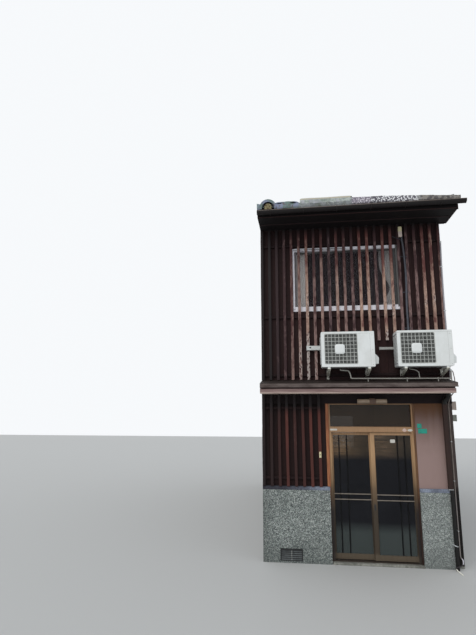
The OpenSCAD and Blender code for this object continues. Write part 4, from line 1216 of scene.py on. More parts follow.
def case_enamel(side, x0):
    """The enamel, with dark plastic in the fan's recess. A point is in the recess when it lies inside the
    grille's rectangle in X and Z and behind the front sheet, which four steep ramps and two in depth tell
    when multiplied."""
    case, z0 = enamel(f"case_enamel_{side}"), UNIT_Z + GRILLE_Z
    spans = (("X", x0 + GRILLE_X, x0 + GRILLE_X + GRILLE_W), ("Z", z0, z0 + GRILLE_H),
        ("Y", WELL_Y0, WELL_Y1))
    steps = ((0, 0.001), (1, -0.001))
    ramps = [(axis, ends[k] - step, ends[k] + step) for axis, *ends in spans for k, step in steps]
    return case.tint(case.blend((78, 80, 79), (54, 56, 56), case.noise(9.0, 3.0)), *ramps)


def turned(points, origin, angle):
    """Points turned about the Y axis through origin."""
    c, s = math.cos(angle), math.sin(angle)
    x, y, z = np.moveaxis(points - origin, -1, 0)
    return np.stack([x * c + z * s, y, z * c - x * s], axis=-1) + origin



def fan(shape, centre):
    """Hub and three blades. A blade's point at radius r and chord c stands r out, c sideways times a width
    that grows with r, and forward by c times a twist that falls with r."""
    shape.rod(centre, centre + np.array([0, -0.044, 0]), 0.058, 24)
    r, c = np.meshgrid(np.linspace(0.05, FAN_R - 0.012, 10), np.linspace(-1, 1, 9))
    width = 0.05 + 0.35 * (r - 0.05)
    blade = np.stack([c * width + 0.16 * (r - 0.05), -0.022 - c * (0.020 - 0.04 * (r - 0.05)), r], axis=-1)
    faces = grid_faces(*c.shape)
    for k in range(3):
        points = turned(blade + centre, centre, k * 2 * math.pi / 3).reshape(-1, 3)
        both = np.concatenate([points, points + [0, 0.003, 0]])
        shape.add(both, [faces[:, ::-1], faces + c.size])


def unit(side, x0):
    """One outdoor unit's case, its fan, and the dark intake with fins on its left side."""
    softened("aircon_" + side, f"unit_{side}_case", case_enamel(side, x0), 0.004, 3)
    fan_shape, intake, fins = Shape(), Shape(), Shape()
    fan(fan_shape, np.array([x0 + HUB_X + 0.010, UNIT_Y + 0.088, UNIT_Z + HUB_Z]))
    back, top = UNIT_Y + UNIT_D, UNIT_Z + UNIT_H
    intake.box((x0 - 0.003, UNIT_Y + 0.028, UNIT_Z + 0.046), (x0 + 0.001, back - 0.028, top - 0.046), 0.0005)
    for z in np.arange(UNIT_Z + 0.05, top - 0.06, 0.021):
        fins.box((x0 - 0.009, UNIT_Y + 0.03, z), (x0 + 0.002, back - 0.03, z + 0.014), 0.0015)
    fan_shape.piece(f"unit_{side}_fan", WELL, "unit_enamel", smooth=True)
    intake.piece(f"unit_{side}_intake", WELL, "unit_enamel")
    fins.piece(f"unit_{side}_fins", ENAMEL, "unit_enamel")


def panel_lines(shape, x0):
    """Thin dark seams by the front sheet's top and its service cover, and the cover's three screws."""
    front, back, right, top = UNIT_Y - 0.0006, UNIT_Y + 0.001, x0 + UNIT_W, UNIT_Z + UNIT_H
    shape.box((x0 + 0.004, front, top - 0.030), (right - 0.004, back, top - 0.0285), 0.0002)
    shape.box((right - 0.062, front, UNIT_Z + 0.02), (right - 0.0605, back, top - 0.031), 0.0002)
    for z in (UNIT_Z + 0.03, UNIT_Z + 0.25, UNIT_Z + 0.47):
        shape.rod((right - 0.030, back, z), (right - 0.030, UNIT_Y - 0.002, z), 0.004, 8)


def wire_grille(shape, behind, x0):
    """A rounded rim and a square grid of 9 by 8 meshes in broad flat wires. Finer wires, 3 to a mesh, stand
    behind."""
    gx, gz = x0 + GRILLE_X, UNIT_Z + GRILLE_Z
    rim = rounded(GRILLE_W, GRILLE_H, 0.022, 6)
    m = len(rim)
    y = np.full(m, UNIT_Y + 0.004)
    loop = np.stack([gx + GRILLE_W / 2 + rim[:, 0], y, gz + GRILLE_H / 2 + rim[:, 1]], axis=-1)
    inner = loop + np.stack([-np.sign(rim[:, 0]) * 0.009, np.zeros(m), -np.sign(rim[:, 1]) * 0.009], axis=-1)
    ring = np.stack([loop, loop + [0, -0.006, 0], inner + [0, -0.006, 0], inner])
    shape.add(ring, [grid_faces(4, m, closed=True)])
    for target, fine, half, y in ((shape, 1, 0.0044, UNIT_Y + 0.003), (behind, 4, 0.0009, UNIT_Y + 0.007)):
        for i in (i for i in range(1, MESH_X * fine) if fine == 1 or i % fine):
            x = gx + GRILLE_W * i / (MESH_X * fine)
            target.box((x - half, y - 0.003, gz + 0.004), (x + half, y, gz + GRILLE_H - 0.004), half * 0.4)
        for i in (i for i in range(1, MESH_Z * fine) if fine == 1 or i % fine):
            z = gz + GRILLE_H * i / (MESH_Z * fine)
            far = (gx + GRILLE_W - 0.004, y + 0.0005, z + half)
            target.box((gx + 0.004, y - 0.0025, z - half), far, half * 0.4)


def hub_plate(shape, x0):
    """The plain rounded square before the fan's hub, softly domed: rings of its outline that shrink as they
    stand forward, and a cap on the last."""
    outline = rounded(HUB_S, HUB_S, 0.036, 7)
    m = len(outline)
    x, z = x0 + HUB_X, UNIT_Z + HUB_Z
    rings = []
    for scale, back in ((1.0, 0.004), (1.0, -0.002), (0.96, -0.006), (0.6, -0.008), (0.01, -0.0085)):
        y = np.full(m, UNIT_Y + back)
        rings.append(np.stack([x + outline[:, 0] * scale, y, z + outline[:, 1] * scale], axis=-1))
    wall, _, last = tube_faces(len(rings), m)
    shape.add(np.stack(rings), [wall, last])


ENAMEL = enamel("unit_enamel")
wires, fine_wires, plates, seams = Shape(), Shape(), Shape(), Shape()
for side, x0 in zip(("left", "right"), UNIT_X):
    unit(side, x0)
    wire_grille(wires, fine_wires, x0)
    hub_plate(plates, x0)
    panel_lines(seams, x0)
wires.piece("unit_grille_wires", WIRE, "unit_enamel", "aircon_grilles")
fine_wires.piece("unit_grille_fine_wires", FINE_WIRE, "unit_enamel")
plates.piece("unit_hub_plates", ENAMEL, "unit_enamel", smooth=True)
seams.piece("unit_sheet_seams", SHEET_LINE, "unit_enamel")
softened("aircon_brackets", "unit_brackets", GALVANISED, 0.001, 1)

# A brace is a folded channel: a flat web with two lips, carried up from the wall to the arm's end
BRACE_PAINT = painted("brace_paint", (242, 240, 228), (198, 192, 176), 0.5)
channel = np.array([(-0.018, -0.010), (-0.018, 0.0), (0.018, 0.0), (0.018, -0.010), (0.0155, -0.010),
    (0.0155, -0.0025), (-0.0155, -0.0025), (-0.0155, -0.010)])[::-1]
braces = Shape()
for x0 in UNIT_X:
    for dx in ARMS:
        x = x0 + dx + 0.026
        braces.tube([(x, -0.046, 2.722), (x, UNIT_Y + ARM_W, UNIT_Z - 0.031)], channel)
        braces.box((x0 + dx, UNIT_Y + 0.002, UNIT_Z - 0.030),
            (x0 + dx + ARM_W, UNIT_Y + ARM_W, UNIT_Z - 0.021), 0.001)
braces.piece("unit_bracket_braces", BRACE_PAINT, "galvanised_steel")
print("outdoor units done")

# %% [markdown]
# The roof slopes at 20.5 degrees. A place on it is given by x, the distance t up the slope from the eaves,
# and the height h square to the slope above the roof boards. One function turns the three into X, Y and Z, so
# every tile can be drawn as if the roof lay flat. The back slope is the mirror image of the front one.

# %% Roof finishes and coordinates
SLOPE, EAVE_OUT = math.radians(20.5), 0.680
RAFTER_Z, TILE_BASE = 5.445, 0.088
ROOF_X0, ROOF_X1 = -HALF_W, HALF_W + 0.138
EAVE_Z = RAFTER_Z - EAVE_OUT * math.tan(SLOPE) + TILE_BASE / math.cos(SLOPE)
SLOPE_LENGTH = (HOUSE_D / 2 + EAVE_OUT) / math.cos(SLOPE)
LIP_Z = 5.250
ROLL_X, ROLL_R, ROLL_H = ROOF_X0 + 0.172, 0.132, -0.006


def on_roof(x, t, h):
    """Point at x, t up the front slope and h above its boards: Y and Z turn by the slope's angle."""
    x, t, h = np.broadcast_arrays(np.asarray(x, float), t, h)
    y = -EAVE_OUT + t * math.cos(SLOPE) - h * math.sin(SLOPE)
    return np.stack([x, y, EAVE_Z + t * math.sin(SLOPE) + h * math.cos(SLOPE)], axis=-1)


def thick(top, under):
    """A closed slab between two grids of points: the top faces, the under faces turned round, and walls round
    the rim. Rows run up the slope and columns along X, so that the faces look outwards."""
    n, m = top.shape[:2]
    faces = grid_faces(n, m)
    index = np.arange(n * m).reshape(n, m)
    rim = np.concatenate([index[0, :-1], index[:-1, -1], index[-1, :0:-1], index[:0:-1, 0]])
    after = np.roll(rim, -1)
    walls = np.stack([rim, rim + n * m, after + n * m, after], axis=1)
    return np.concatenate([top.reshape(-1, 3), under.reshape(-1, 3)]), [faces, faces[:, ::-1] + n * m, walls]


def to_rear(points, faces):
    """The mirror image on the back slope. Mirroring turns faces inside out, so their order is reversed."""
    points = np.array(points)
    points[..., 1] = HOUSE_D - points[..., 1]
    return points, [rows[:, ::-1] for rows in faces]


def clay(name, light, dark, eaves=True):
    """Weathered grey tile: a tone for each tile, pale lichen in rosettes and moss in the hollows. Along the
    eaves the tiles come from several firings: lavender and green at the left, then dark with white lichen,
    then brown."""
    tile = Finish(name, rough=0.85, spec=0.25)
    tone = tile.sum(tile.attribute("tone"), tile.ramp(tile.noise(12.0, 4.0), 0.3, 0.7, -0.3, 0.3))
    lichen = tile.times(tile.ramp(tile.cells(46.0), 0.42, 0.25), tile.ramp(tile.noise(5.0, 3.0), 0.42, 0.62))
    tile.colour(tile.blend(dark, light, tile.ramp(tone, 0.0, 1.0))).over((196, 200, 190), lichen)
    tile.over((104, 108, 92), tile.ramp(tile.noise(8.0, 5.0, (1, 1, 2)), 0.52, 0.70, 0.0, 0.8))
    if eaves:
        near = ("Y", -0.45, -0.62)
        firing = tile.blend((150, 158, 182), (120, 140, 134), tile.ramp(tile.noise(9.0), 0.42, 0.56))
        firing = tile.blend(firing, (116, 108, 110), tile.ramp(tile.noise(17.0), 0.54, 0.62))
        white = tile.ramp(tile.cells(42.0), 0.50, 0.40)
        lilac = tile.blend((138, 128, 142), (224, 218, 226), white)
        dark_fired = tile.blend((96, 91, 101), (250, 250, 252), white)
        brown = tile.blend((160, 152, 144), (86, 76, 78), tile.ramp(tile.noise(24.0), 0.45, 0.55))
        tile.tint(firing, near, ("X", -0.74, -0.80, 0.0, 0.92))
        tile.tint(lilac, near, ("X", 0.00, 0.03), ("X", 0.34, 0.28, 0.0, 0.85))
        tile.tint(dark_fired, near, ("X", 0.28, 0.34), ("X", 1.02, 0.94, 0.0, 0.9))
        tile.tint(brown, near, ("X", 0.96, 1.04, 0.0, 0.75))
        # A ragged band of painted shade along the foot, where the tiles meet the gutter
        ragged = tile.sum(tile.height(), tile.ramp(tile.noise(34.0, 2.0), 0.3, 0.7, -0.014, 0.014))
        foot_shade = tile.times(tile.ramp(ragged, 5.288, 5.268), tile.along("X", -0.02, 0.05, 0.35, 0.8))
        tile.over((56, 50, 50), tile.times(tile.along(*near), foot_shade))
    return tile.bump(tile.noise(90.0, 4.0), 0.0015, 0.5).bump(lichen, 0.001, 0.5)


TILE = clay("pantile_clay", (163, 167, 169), (127, 131, 133))
RIDGE_TILE = clay("ridge_clay", (150, 153, 156), (106, 108, 112), eaves=False)
MOSSY_MORTAR = cement("mossy_mortar", (196, 190, 146), (96, 78, 60), 40.0)
PATCH_CEMENT = cement("patch_cement", (228, 234, 230), (150, 162, 152), 30.0)
PATCH_CEMENT.over((196, 192, 208), PATCH_CEMENT.ramp(PATCH_CEMENT.noise(11.0), 0.48, 0.60, 0.0, 0.5))
PATCH_CEMENT.tint((214, 206, 186), ("Z", 5.362, 5.372), ("Z", 5.400, 5.385))
print("slope length:", round(SLOPE_LENGTH, 3), "m; tiles begin at z =", round(EAVE_Z, 3))

# %% [markdown]
# Pantiles lie in columns. Across a column the tile is a wide shallow trough with a narrow crest at its edge,
# and up the slope each course lifts over the head of the one below. The eaves tiles also have an apron that
# hangs down in front. Each tile is its own closed slab, a millimetre or two out of line with its neighbours.

# %% Pantiles
COLUMNS = 11
TILE_PITCH = (ROOF_X1 - ROOF_X0) / COLUMNS
COURSES = 20
COURSE = SLOPE_LENGTH / COURSES
TILE_T, WAVE, LIFT, OVERLAP = 0.014, 0.026, 0.012, 0.030


def wave(u):
    """Height across a tile, u from 0 to 1: WAVE times ((1 + cos 2 pi u) / 2) to the power 1.5."""
    return WAVE * ((1 + np.cos(2 * np.pi * u)) / 2) ** 1.5


def eaves_rise(x, u):
    """Rise of the front eaves tiles. On the left they wave, and those beside the roll stand nearly level.
    Right of the mended stretch they are thick and nearly flat, sink towards the verge and have low lumps."""
    mound = 0.036 * np.exp(-((x + 0.97) / 0.19) ** 8) + 0.004 * np.exp(-((x + 0.95) / 0.04) ** 2)
    left = np.maximum(wave(u), mound)
    right = np.interp(x, (0.0, 0.45, 0.72, 1.0, 1.3, 1.55), (0.046, 0.044, 0.034, 0.026, 0.010, -0.002))
    return np.where(x > 0.0, right + 0.003 * np.sin(31 * x) * np.cos(13 * x), left)


def set_back(x):
    """How far up the slope the eaves tiles begin: 65 mm behind the roll's open end, else not at all."""
    return 0.065 * (np.abs(x - ROLL_X) < 0.105)


def shadow_gap(x):
    """Height of the two slots that are open between the apron and the tiles, as flat-topped humps in X."""
    return 0.028 * (np.exp(-((x + 1.08) / 0.05) ** 4) + np.exp(-((x + 0.865) / 0.055) ** 4))


def pantiles(mirrored=False):
    """One slope, tile by tile: the top stands at the bedding plus the wave plus a lift that falls to nothing
    up the tile, and the underside TILE_T below it. Each tile of the first course has an apron."""
    shape = Shape()
    for j in range(COURSES):
        for i in range(COLUMNS):
            u, v = np.meshgrid(np.linspace(0, 1, 13), np.linspace(0, 1, 3))
            front_row = j == 0 and not mirrored
            # The last eaves tile reaches 25 mm past the verge
            reach = 1.09 if front_row and i == COLUMNS - 1 else 1.0
            x = ROOF_X0 + (i + u * reach) * TILE_PITCH
            t0 = max(j * COURSE + rng.uniform(-0.003, 0.003), -0.003)
            t = t0 + v * (COURSE + (OVERLAP if j < COURSES - 1 else -0.01))
            if j == 0:
                t = np.maximum(t, set_back(x))
            rise = eaves_rise(x, u) if front_row else wave(u)
            h = 0.030 + rise + LIFT * (1 - v) + rng.uniform(-0.0012, 0.0012)
            tone = rng.uniform(0, 1)
            shape.place(thick(on_roof(x, t, h), on_roof(x, t, h - TILE_T)), mirrored, tone=tone)
            if j == 0:
                # The apron: from the lip's level edge up to the tile's wavy front edge
                u, v = np.meshgrid(np.linspace(0, 1, 13), np.linspace(0, 1, 4))
                x = ROOF_X0 + (i + u * reach) * TILE_PITCH
                top = on_roof(x, set_back(x), 0.026 + np.resize(rise[0], u.shape) + LIFT - shadow_gap(x))
                foot = LIP_Z + 0.004 * np.sin(np.pi * u) ** 2 + rng.uniform(0, 0.003)
                x, y, z = np.moveaxis(top, -1, 0)
                face = np.stack([x, y + (1 - v) * 0.006, foot + (z - foot) * v], axis=-1)
                shape.place(thick(face, face + [0, 0.018, 0]), mirrored, tone=tone)
    # Bedding under the tiles: one thin sheet that closes the view between courses
    u, v = np.meshgrid(np.linspace(0, 1, 2), np.linspace(0, 1, 2))
    x = ROOF_X0 + 0.002 + u * (ROOF_X1 - ROOF_X0 - 0.004)
    t = 0.012 + v * (SLOPE_LENGTH - 0.016)
    shape.place(thick(on_roof(x, t, 0.016 + 0 * u), on_roof(x, t, 0.002 + 0 * u)), mirrored, tone=0.0)
    return shape


pantiles().piece("front_pantiles", TILE, "roof_tile", "front_tiles")
pantiles(True).piece("rear_pantiles", TILE, "roof_tile", "rear_tiles")
print("pantiles:", COLUMNS * COURSES, "to a slope, each", round(TILE_PITCH, 3), "m wide")

# %% [markdown]
# Up the left edge runs a roll of barrel tiles, each a half round whose wider lower end covers the narrower
# head of the next. Its open end at the eaves is filled with mossy mortar. Beside it, a stretch of the eaves
# was bedded again and covered with a flat slab of mortar. Along the top, courses of flat tiles carry a round
# cap.

# %% Roll, patch and ridge
CREST = 0.056


def barrel(shape, mirrored, x0, t0, length, radius, base, tone, shell=0.028):
    """A half round closed slab: angle a from pi to 0 across, t up the slope; the lower end is 5 mm wider."""
    a, v = np.meshgrid(np.linspace(np.pi, 0, 13), np.linspace(0, 1, 3))
    r = radius * (1.0 + 0.055 * (1 - v))
    outer = on_roof(x0 + r * np.cos(a), t0 + v * length, base + r * np.sin(a))
    inner = on_roof(x0 + (r - shell) * np.cos(a), t0 + v * length, base + (r - shell) * np.sin(a))
    shape.place(thick(outer, inner), mirrored, tone=tone)


BARRELS, BARREL_L, BARREL_STEP, PLUG_R = 17, 0.295, 0.262, 0.060
roll, plug = Shape(), Shape()
for mirrored in (False, True):
    for k in range(BARRELS):
        t0, shell = (-0.022, 0.037) if k == 0 else (-0.008 + k * BARREL_STEP, 0.028)
        barrel(roll, mirrored, ROLL_X, t0, BARREL_L, ROLL_R - 0.005, ROLL_H, rng.uniform(0, 1), shell)
    a, v = np.meshgrid(np.linspace(np.pi, 0, 25), np.linspace(0, 1, 2))
    rough_front = -0.018 + 0.004 * np.sin(7 * a) * (1 - v)
    dome = on_roof(ROLL_X + PLUG_R * np.cos(a), rough_front + v * 0.05, 0.003 + PLUG_R * np.sin(a))
    flat = on_roof(ROLL_X + PLUG_R * np.cos(a), rough_front + v * 0.05, 0.002 + 0 * a)
    # The first barrel stands on two short legs, and the mortar goes on down between them
    legs = [block((ROLL_X + dx, -0.700, 5.256), (ROLL_X + dx + 0.037, -0.662, 5.284))
        for dx in (-0.134, 0.097)]
    bed = block((ROLL_X - 0.055, -0.699, 5.252), (ROLL_X + 0.055, -0.655, 5.284), 0.006)
    for shape, part in ((roll, legs[0]), (roll, legs[1]), (plug, thick(dome, flat)), (plug, bed)):
        shape.place(part, mirrored, tone=0.5)
roll.piece("verge_roll_tiles", TILE, "roof_tile")
plug.piece("verge_roll_mortar", MOSSY_MORTAR, "roof_tile")

# The slab's edges sink by 10 mm, and its top has low waves
PATCH_X, PATCH_W, PATCH_L, PATCH_H = -0.760, 0.776, 0.490, 0.114
u, v = np.meshgrid(np.linspace(0, 1, 30), np.linspace(0, 1, 14))
edge = np.minimum.reduce([u * PATCH_W, (1 - u) * PATCH_W, v * PATCH_L, (1 - v) * PATCH_L])
top_h = PATCH_H + 0.003 * u - 0.010 * np.exp(-edge / 0.008) + 0.002 * np.sin(9 * u + 5 * v)
x, t = PATCH_X + u * PATCH_W, -0.006 + v * PATCH_L
patch = Shape().add(*thick(on_roof(x, t, top_h), on_roof(x, t, 0.034 + 0 * u)))
patch.piece("eaves_patch", PATCH_CEMENT, "roof_tile")
# A nail head that sticks out at the slab's right end
nail = Shape().rod((0.008, -0.716, 5.370), (0.008, -0.731, 5.372), 0.009)
nail.piece("eaves_patch_nail", DARK_METAL, "dark_metal")

HALF_D = HOUSE_D / 2
RIDGE_Z = RAFTER_Z + HALF_D * math.tan(SLOPE) + (TILE_BASE + CREST) / math.cos(SLOPE)
ridge = Shape()
for half, low, high, step in ((0.108, -0.040, 0.030, 0.30), (0.104, 0.032, 0.060, 0.27),
        (0.080, 0.062, 0.084, 0.25), (0.077, 0.086, 0.108, 0.29)):
    count = round((ROOF_X1 - ROOF_X0) / step)
    cuts = np.linspace(ROOF_X0 + 0.002, ROOF_X1 - 0.002, count + 1)
    for a, b in zip(cuts[:-1], cuts[1:]):
        out = rng.uniform(-0.002, 0.002)
        ridge.box((a + 0.001, HALF_D - half - out, RIDGE_Z + low),
            (b - 0.001, HALF_D + half + out, RIDGE_Z + high), 0.004, tone=rng.uniform(0, 1))
# The round cap: twelve lengths, each with a collar 30 mm wide
CAP_Z = RIDGE_Z + 0.105
cuts = np.linspace(ROOF_X0 + 0.004, ROOF_X1 - 0.004, 13)
for a, b in zip(cuts[:-1], cuts[1:]):
    run = [(x, HALF_D, CAP_Z) for x in (a, a + 0.03, a + 0.032, b - 0.001)]
    ridge.tube(run, circle(0.068, 20), scale=[1.05, 1.05, 1.0, 1.0], tone=rng.uniform(0, 1))
for x in (ROOF_X0 + 0.001, ROOF_X1 - 0.021):
    ridge.rod((x, HALF_D, RIDGE_Z + 0.100), (x + 0.020, HALF_D, RIDGE_Z + 0.100), 0.076, 28, tone=0.3)
ridge.piece("ridge_stack", RIDGE_TILE, "roof_tile", "ridge_tiles")
print("ridge at z =", round(RIDGE_Z + 0.177, 3))

# %% [markdown]
# Under the tiles the eaves are boxed in: a flat soffit, a front board, and boards at the ends. They get the
# same stained timber with rounded edges, the eaves box a darker one that also paints the shade under the
# eaves. The soffit is made of two long boards, so it gets a thin strip over the joint.

# %% Eaves timber
# Dark stain made darker still, a painted shade under the eaves
EAVES_STAIN_AND_SHADE = dark_board("board_eaves", "X", (26, 21, 22), (13, 10, 11))
EAVES_STRIP = dark_board("board_eaves_strip", "X", (58, 42, 42), (34, 26, 27))
EAVES_SIDE = dark_board("board_verge", "Y", (50, 28, 28), (28, 17, 18))
softened("soffits", "eaves_box", EAVES_STAIN_AND_SHADE, 0.003)
softened("verge_boards", "verge_planks", EAVES_SIDE, 0.003)
repaint("rafters", BOARD_SLOPE)
repaint("roof_boards", BOARD_SLOPE)
strips = Shape()
x0, x1 = ROOF_X0 + 0.002, ROOF_X1 - 0.030
for at_y in (lambda y: y, lambda y: HOUSE_D - y):
    for y0, y1 in ((-0.322, -0.300), (-0.040, -0.022)):
        strips.box((x0, at_y(y0), SOFFIT_Z - 0.008), (x1, at_y(y1), SOFFIT_Z + 0.002), tone=0.3)
    strips.box((x0, at_y(-0.6225), SOFFIT_Z - 0.003), (x1, at_y(-0.612), SOFFIT_Z + 0.010), tone=0.9)
strips.piece("soffit_strips", EAVES_STRIP, "dark_boards")

# %% [markdown]
# Rainwater goods. A gutter is half a pipe with a rolled front edge, closed at its ends and held by straps.
# Its cross-section is an outline carried along X. The front downpipe is a square one from the ledge to the
# dado, then a round one to the ground, and at the back a round pipe swings from the gutter to the wall.

# %% Gutters and downpipes
GUTTER_Y, GUTTER_Z, GUTTER_R, GUTTER_X1 = -EAVE_OUT - 0.014, LIP_Z - 0.004, 0.055, 1.652
GUTTER = painted("gutter_brown", (22, 18, 19), (38, 32, 32), 0.55, streak=0.4, spec=0.3)
GUTTER_RIM = painted("gutter_rim", (129, 118, 110), (92, 80, 72), 0.6, spec=0.3)
STRAP = painted("gutter_strap", (62, 56, 56), (44, 40, 40), 0.5, metal=0.3)
PIPE_BROWN = painted("downpipe_brown", (42, 26, 21), (60, 42, 37), 0.55, streak=0.5, spec=0.3)
PIPE_BLACK = painted("downpipe_black", (14, 14, 13), (30, 28, 26), 0.5, spec=0.3)
BRIGHT_CLIP = painted("bright_clip", (196, 200, 202), (150, 150, 148), 0.35, metal=0.4)


def gutter_z(x):
    """Height of the gutter's edge, which falls evenly by 25 mm from its right end to its left."""
    return GUTTER_Z - 0.025 * (GUTTER_X1 - x) / (GUTTER_X1 - ROOF_X0)


def half_ring(radius):
    """Points of the lower half of a circle, from its front edge to its back edge."""
    a = np.linspace(np.pi, 2 * np.pi, 18)
    return radius * np.stack([np.cos(a), np.sin(a)], axis=1)


gutters, rims, straps = Shape(), Shape(), Shape()
for mirrored in (False, True):
    low, high = gutter_z(ROOF_X0), gutter_z(GUTTER_X1)
    # The outside, and back along the inside of a wall 3 mm thick
    outline = np.concatenate([half_ring(GUTTER_R), half_ring(GUTTER_R - 0.003)[::-1]])
    fall = (GUTTER_X1 - ROOF_X0 - 0.006, 0, high - low)
    gutters.place(extruded(outline, (ROOF_X0 + 0.003, GUTTER_Y, low), fall), mirrored)
    for x in (ROOF_X0, GUTTER_X1 - 0.004):
        gutters.place(extruded(half_ring(GUTTER_R), (x, GUTTER_Y, gutter_z(x)), (0.004, 0, 0)), mirrored)
    # The rolled front edge, which catches the light
    rim_y = GUTTER_Y - GUTTER_R + 0.003
    rim = [(ROOF_X0 + 0.001, rim_y, low - 0.002), (GUTTER_X1 - 0.001, rim_y, high - 0.002)]
    rims.place(sweep(rim, circle(0.0045, 10)), mirrored)
    angles = np.linspace(0.97 * np.pi, 2.0 * np.pi, 14)
    for x in np.linspace(-1.219, 1.30, 6):
        r, z = GUTTER_R + 0.002, gutter_z(x)
        run = [(x, GUTTER_Y + r * math.cos(q), z + r * math.sin(q)) for q in angles]
        run.append((x, -EAVE_OUT + 0.058, z + 0.004))
        straps.place(sweep(run, rounded(0.016, 0.003, 0.001, 2)[:, ::-1]), mirrored)
gutters.piece("eaves_gutters", GUTTER, "brown_plastic", "gutters")
rims.piece("gutter_rims", GUTTER_RIM, "brown_plastic")
straps.piece("gutter_straps", STRAP, "brown_plastic")


def upright(y, *places):
    """Points in the upright plane at y, from places given as (x, z)."""
    return [(x, y, z) for x, z in places]


def bent(corners, radius, steps=6):
    """A path through corners with each one rounded: near a corner the path follows the quadratic curve from
    radius before it to radius after it, with the corner as its middle control point."""
    corners = np.asarray(corners, float)
    path = [corners[0]]
    for before, here, after in zip(corners[:-2], corners[1:-1], corners[2:]):
        back, on = np.linalg.norm(here - before), np.linalg.norm(after - here)
        r = min(radius, back * 0.45, on * 0.45)
        a, b = here + (before - here) / back * r, here + (after - here) / on * r
        path += [(1 - s) ** 2 * a + 2 * s * (1 - s) * here + s ** 2 * b for s in np.linspace(0, 1, steps)]
    return np.array(path + [corners[-1]])


PIPE_X, PIPE_Y, PIPE_FOOT = 1.290, -0.097, DADO_Z + 0.004
LOWER_X, REAR_X, REAR_Y = 1.304, 1.330, HOUSE_D + 0.040
PIPE_SECTION, COLLAR_SECTION = rounded(0.064, 0.052, 0.008, 3), rounded(0.070, 0.056, 0.009, 3)
square_pipe, round_pipe, clips = Shape(), Shape(), Shape()
for z0, z1, section in ((PIPE_FOOT, 2.330, PIPE_SECTION), (2.150, 2.162, COLLAR_SECTION),
        (PIPE_FOOT, DADO_Z + 0.060, COLLAR_SECTION)):
    square_pipe.tube(upright(PIPE_Y, (PIPE_X, z0), (PIPE_X, z1)), section)
# The shoe at the top: a wider hopper that turns towards the corner of the house
shoe_x = PIPE_X + 0.060
hopper = bent(upright(PIPE_Y, (PIPE_X, 2.290), (PIPE_X, 2.335), (shoe_x, 2.395), (shoe_x, LEDGE_Z)), 0.05)
round_pipe.tube(hopper, circle(0.037, 18))
round_pipe.rod((LOWER_X, PIPE_Y, 0.0), (LOWER_X, PIPE_Y, DADO_Z + 0.020), 0.025, 18)
round_pipe.rod((LOWER_X, PIPE_Y, 0.93), (LOWER_X, PIPE_Y, 0.985), 0.029, 18)
# The strap round the black pipe leans, and a pale one goes round the joint above the dado
clips.rod((1.302, PIPE_Y, 0.318), (1.306, PIPE_Y, 0.330), 0.029, 18)
clips.box((1.262, PIPE_Y + 0.004, 0.328), (1.282, DADO_FACE, 0.340), 0.001)
joint = upright(PIPE_Y, (PIPE_X, DADO_Z + 0.002), (PIPE_X, DADO_Z + 0.010))
clips.tube(joint, rounded(0.072, 0.058, 0.009, 3))
gutter_y, gutter_foot = HOUSE_D - GUTTER_Y, gutter_z(REAR_X) - 0.050
rear_path = [(REAR_X, y, z) for y, z in ((gutter_y, gutter_foot), (gutter_y, 5.080), (REAR_Y, 4.900),
    (REAR_Y, 0.0))]
square_pipe.tube(bent(rear_path, 0.10, 8), circle(0.030, 18))
for z in (0.6, 1.9, 3.2, 4.5):
    square_pipe.rod((REAR_X, REAR_Y, z), (REAR_X, REAR_Y, z + 0.03), 0.034, 18)
square_pipe.piece("downpipe_brown", PIPE_BROWN, "brown_plastic", "downpipes")
round_pipe.piece("downpipe_black", PIPE_BLACK, "brown_plastic")
clips.piece("downpipe_clips", BRIGHT_CLIP, "brown_plastic")
print("gutters and downpipes done")

# %% [markdown]
# Small pipework: the drain of the outdoor units runs along the ledge on clips and goes down past its end to a
# thin hose on the corner, which is turned out at its foot. Two conduits climb the lattice, and two slim duct
# covers lead the units' pipes to the wall. All of them are round or rounded sections carried along bent
# paths.

# %% Drain, hose, conduits and duct covers
DRAIN_Y, DRAIN_Z, DRAIN_R, RISER_X = -0.300, 2.664, 0.009, 1.365
SHEET_Z, HOSE_X, HOSE_Y = cap_top(DRAIN_Y), 1.352, -0.088
GREY_PIPE = painted("grey_pipe", (156, 154, 147), (116, 112, 106), 0.5, spec=0.35)
HOSE = painted("pale_hose", (126, 116, 110), (92, 84, 78), 0.6, spec=0.3)
HOSE.tint((134, 127, 125), ("Z", 1.12, 0.95))
# Bright where it swings out, then a painted shade where it bends along the foot, and bright again at its tail
for shade, upper_z, lower_z in (((208, 206, 214), 0.162, 0.150), ((56, 52, 54), 0.096, 0.086),
        ((244, 242, 230), 0.042, 0.034)):
    HOSE.tint(shade, ("Z", upper_z, lower_z))
CONDUIT = painted("blue_black_conduit", (66, 68, 78), (42, 42, 49), 0.4, spec=0.5)
CONDUIT.tint((34, 36, 47), ("Z", 4.25, 4.50, 0.0, 0.8))
CORNER_CONDUIT = painted("corner_conduit", (158, 155, 160), (120, 114, 118), 0.5, spec=0.35)
CREAM, JUNCTION_BOX = (painted(name, (226, 216, 176), (188, 174, 132), 0.5, spec=0.35)
    for name in ("cream_box", "junction_box_paint"))
JUNCTION_BOX.tint((206, 190, 180), ("Z", 5.020, 5.000))
PINK_BOX = painted("pinkish_box", (172, 158, 149), (138, 126, 118), 0.55, spec=0.3)
GREY_BOX = painted("grey_box", (128, 131, 124), (98, 100, 94), 0.55, spec=0.3)
WHITE_DUCT = painted("white_duct", (214, 216, 214), (176, 176, 170), 0.5, spec=0.35)
GREY_DUCT = painted("grey_duct", (176, 176, 172), (132, 130, 124), 0.5, spec=0.35)

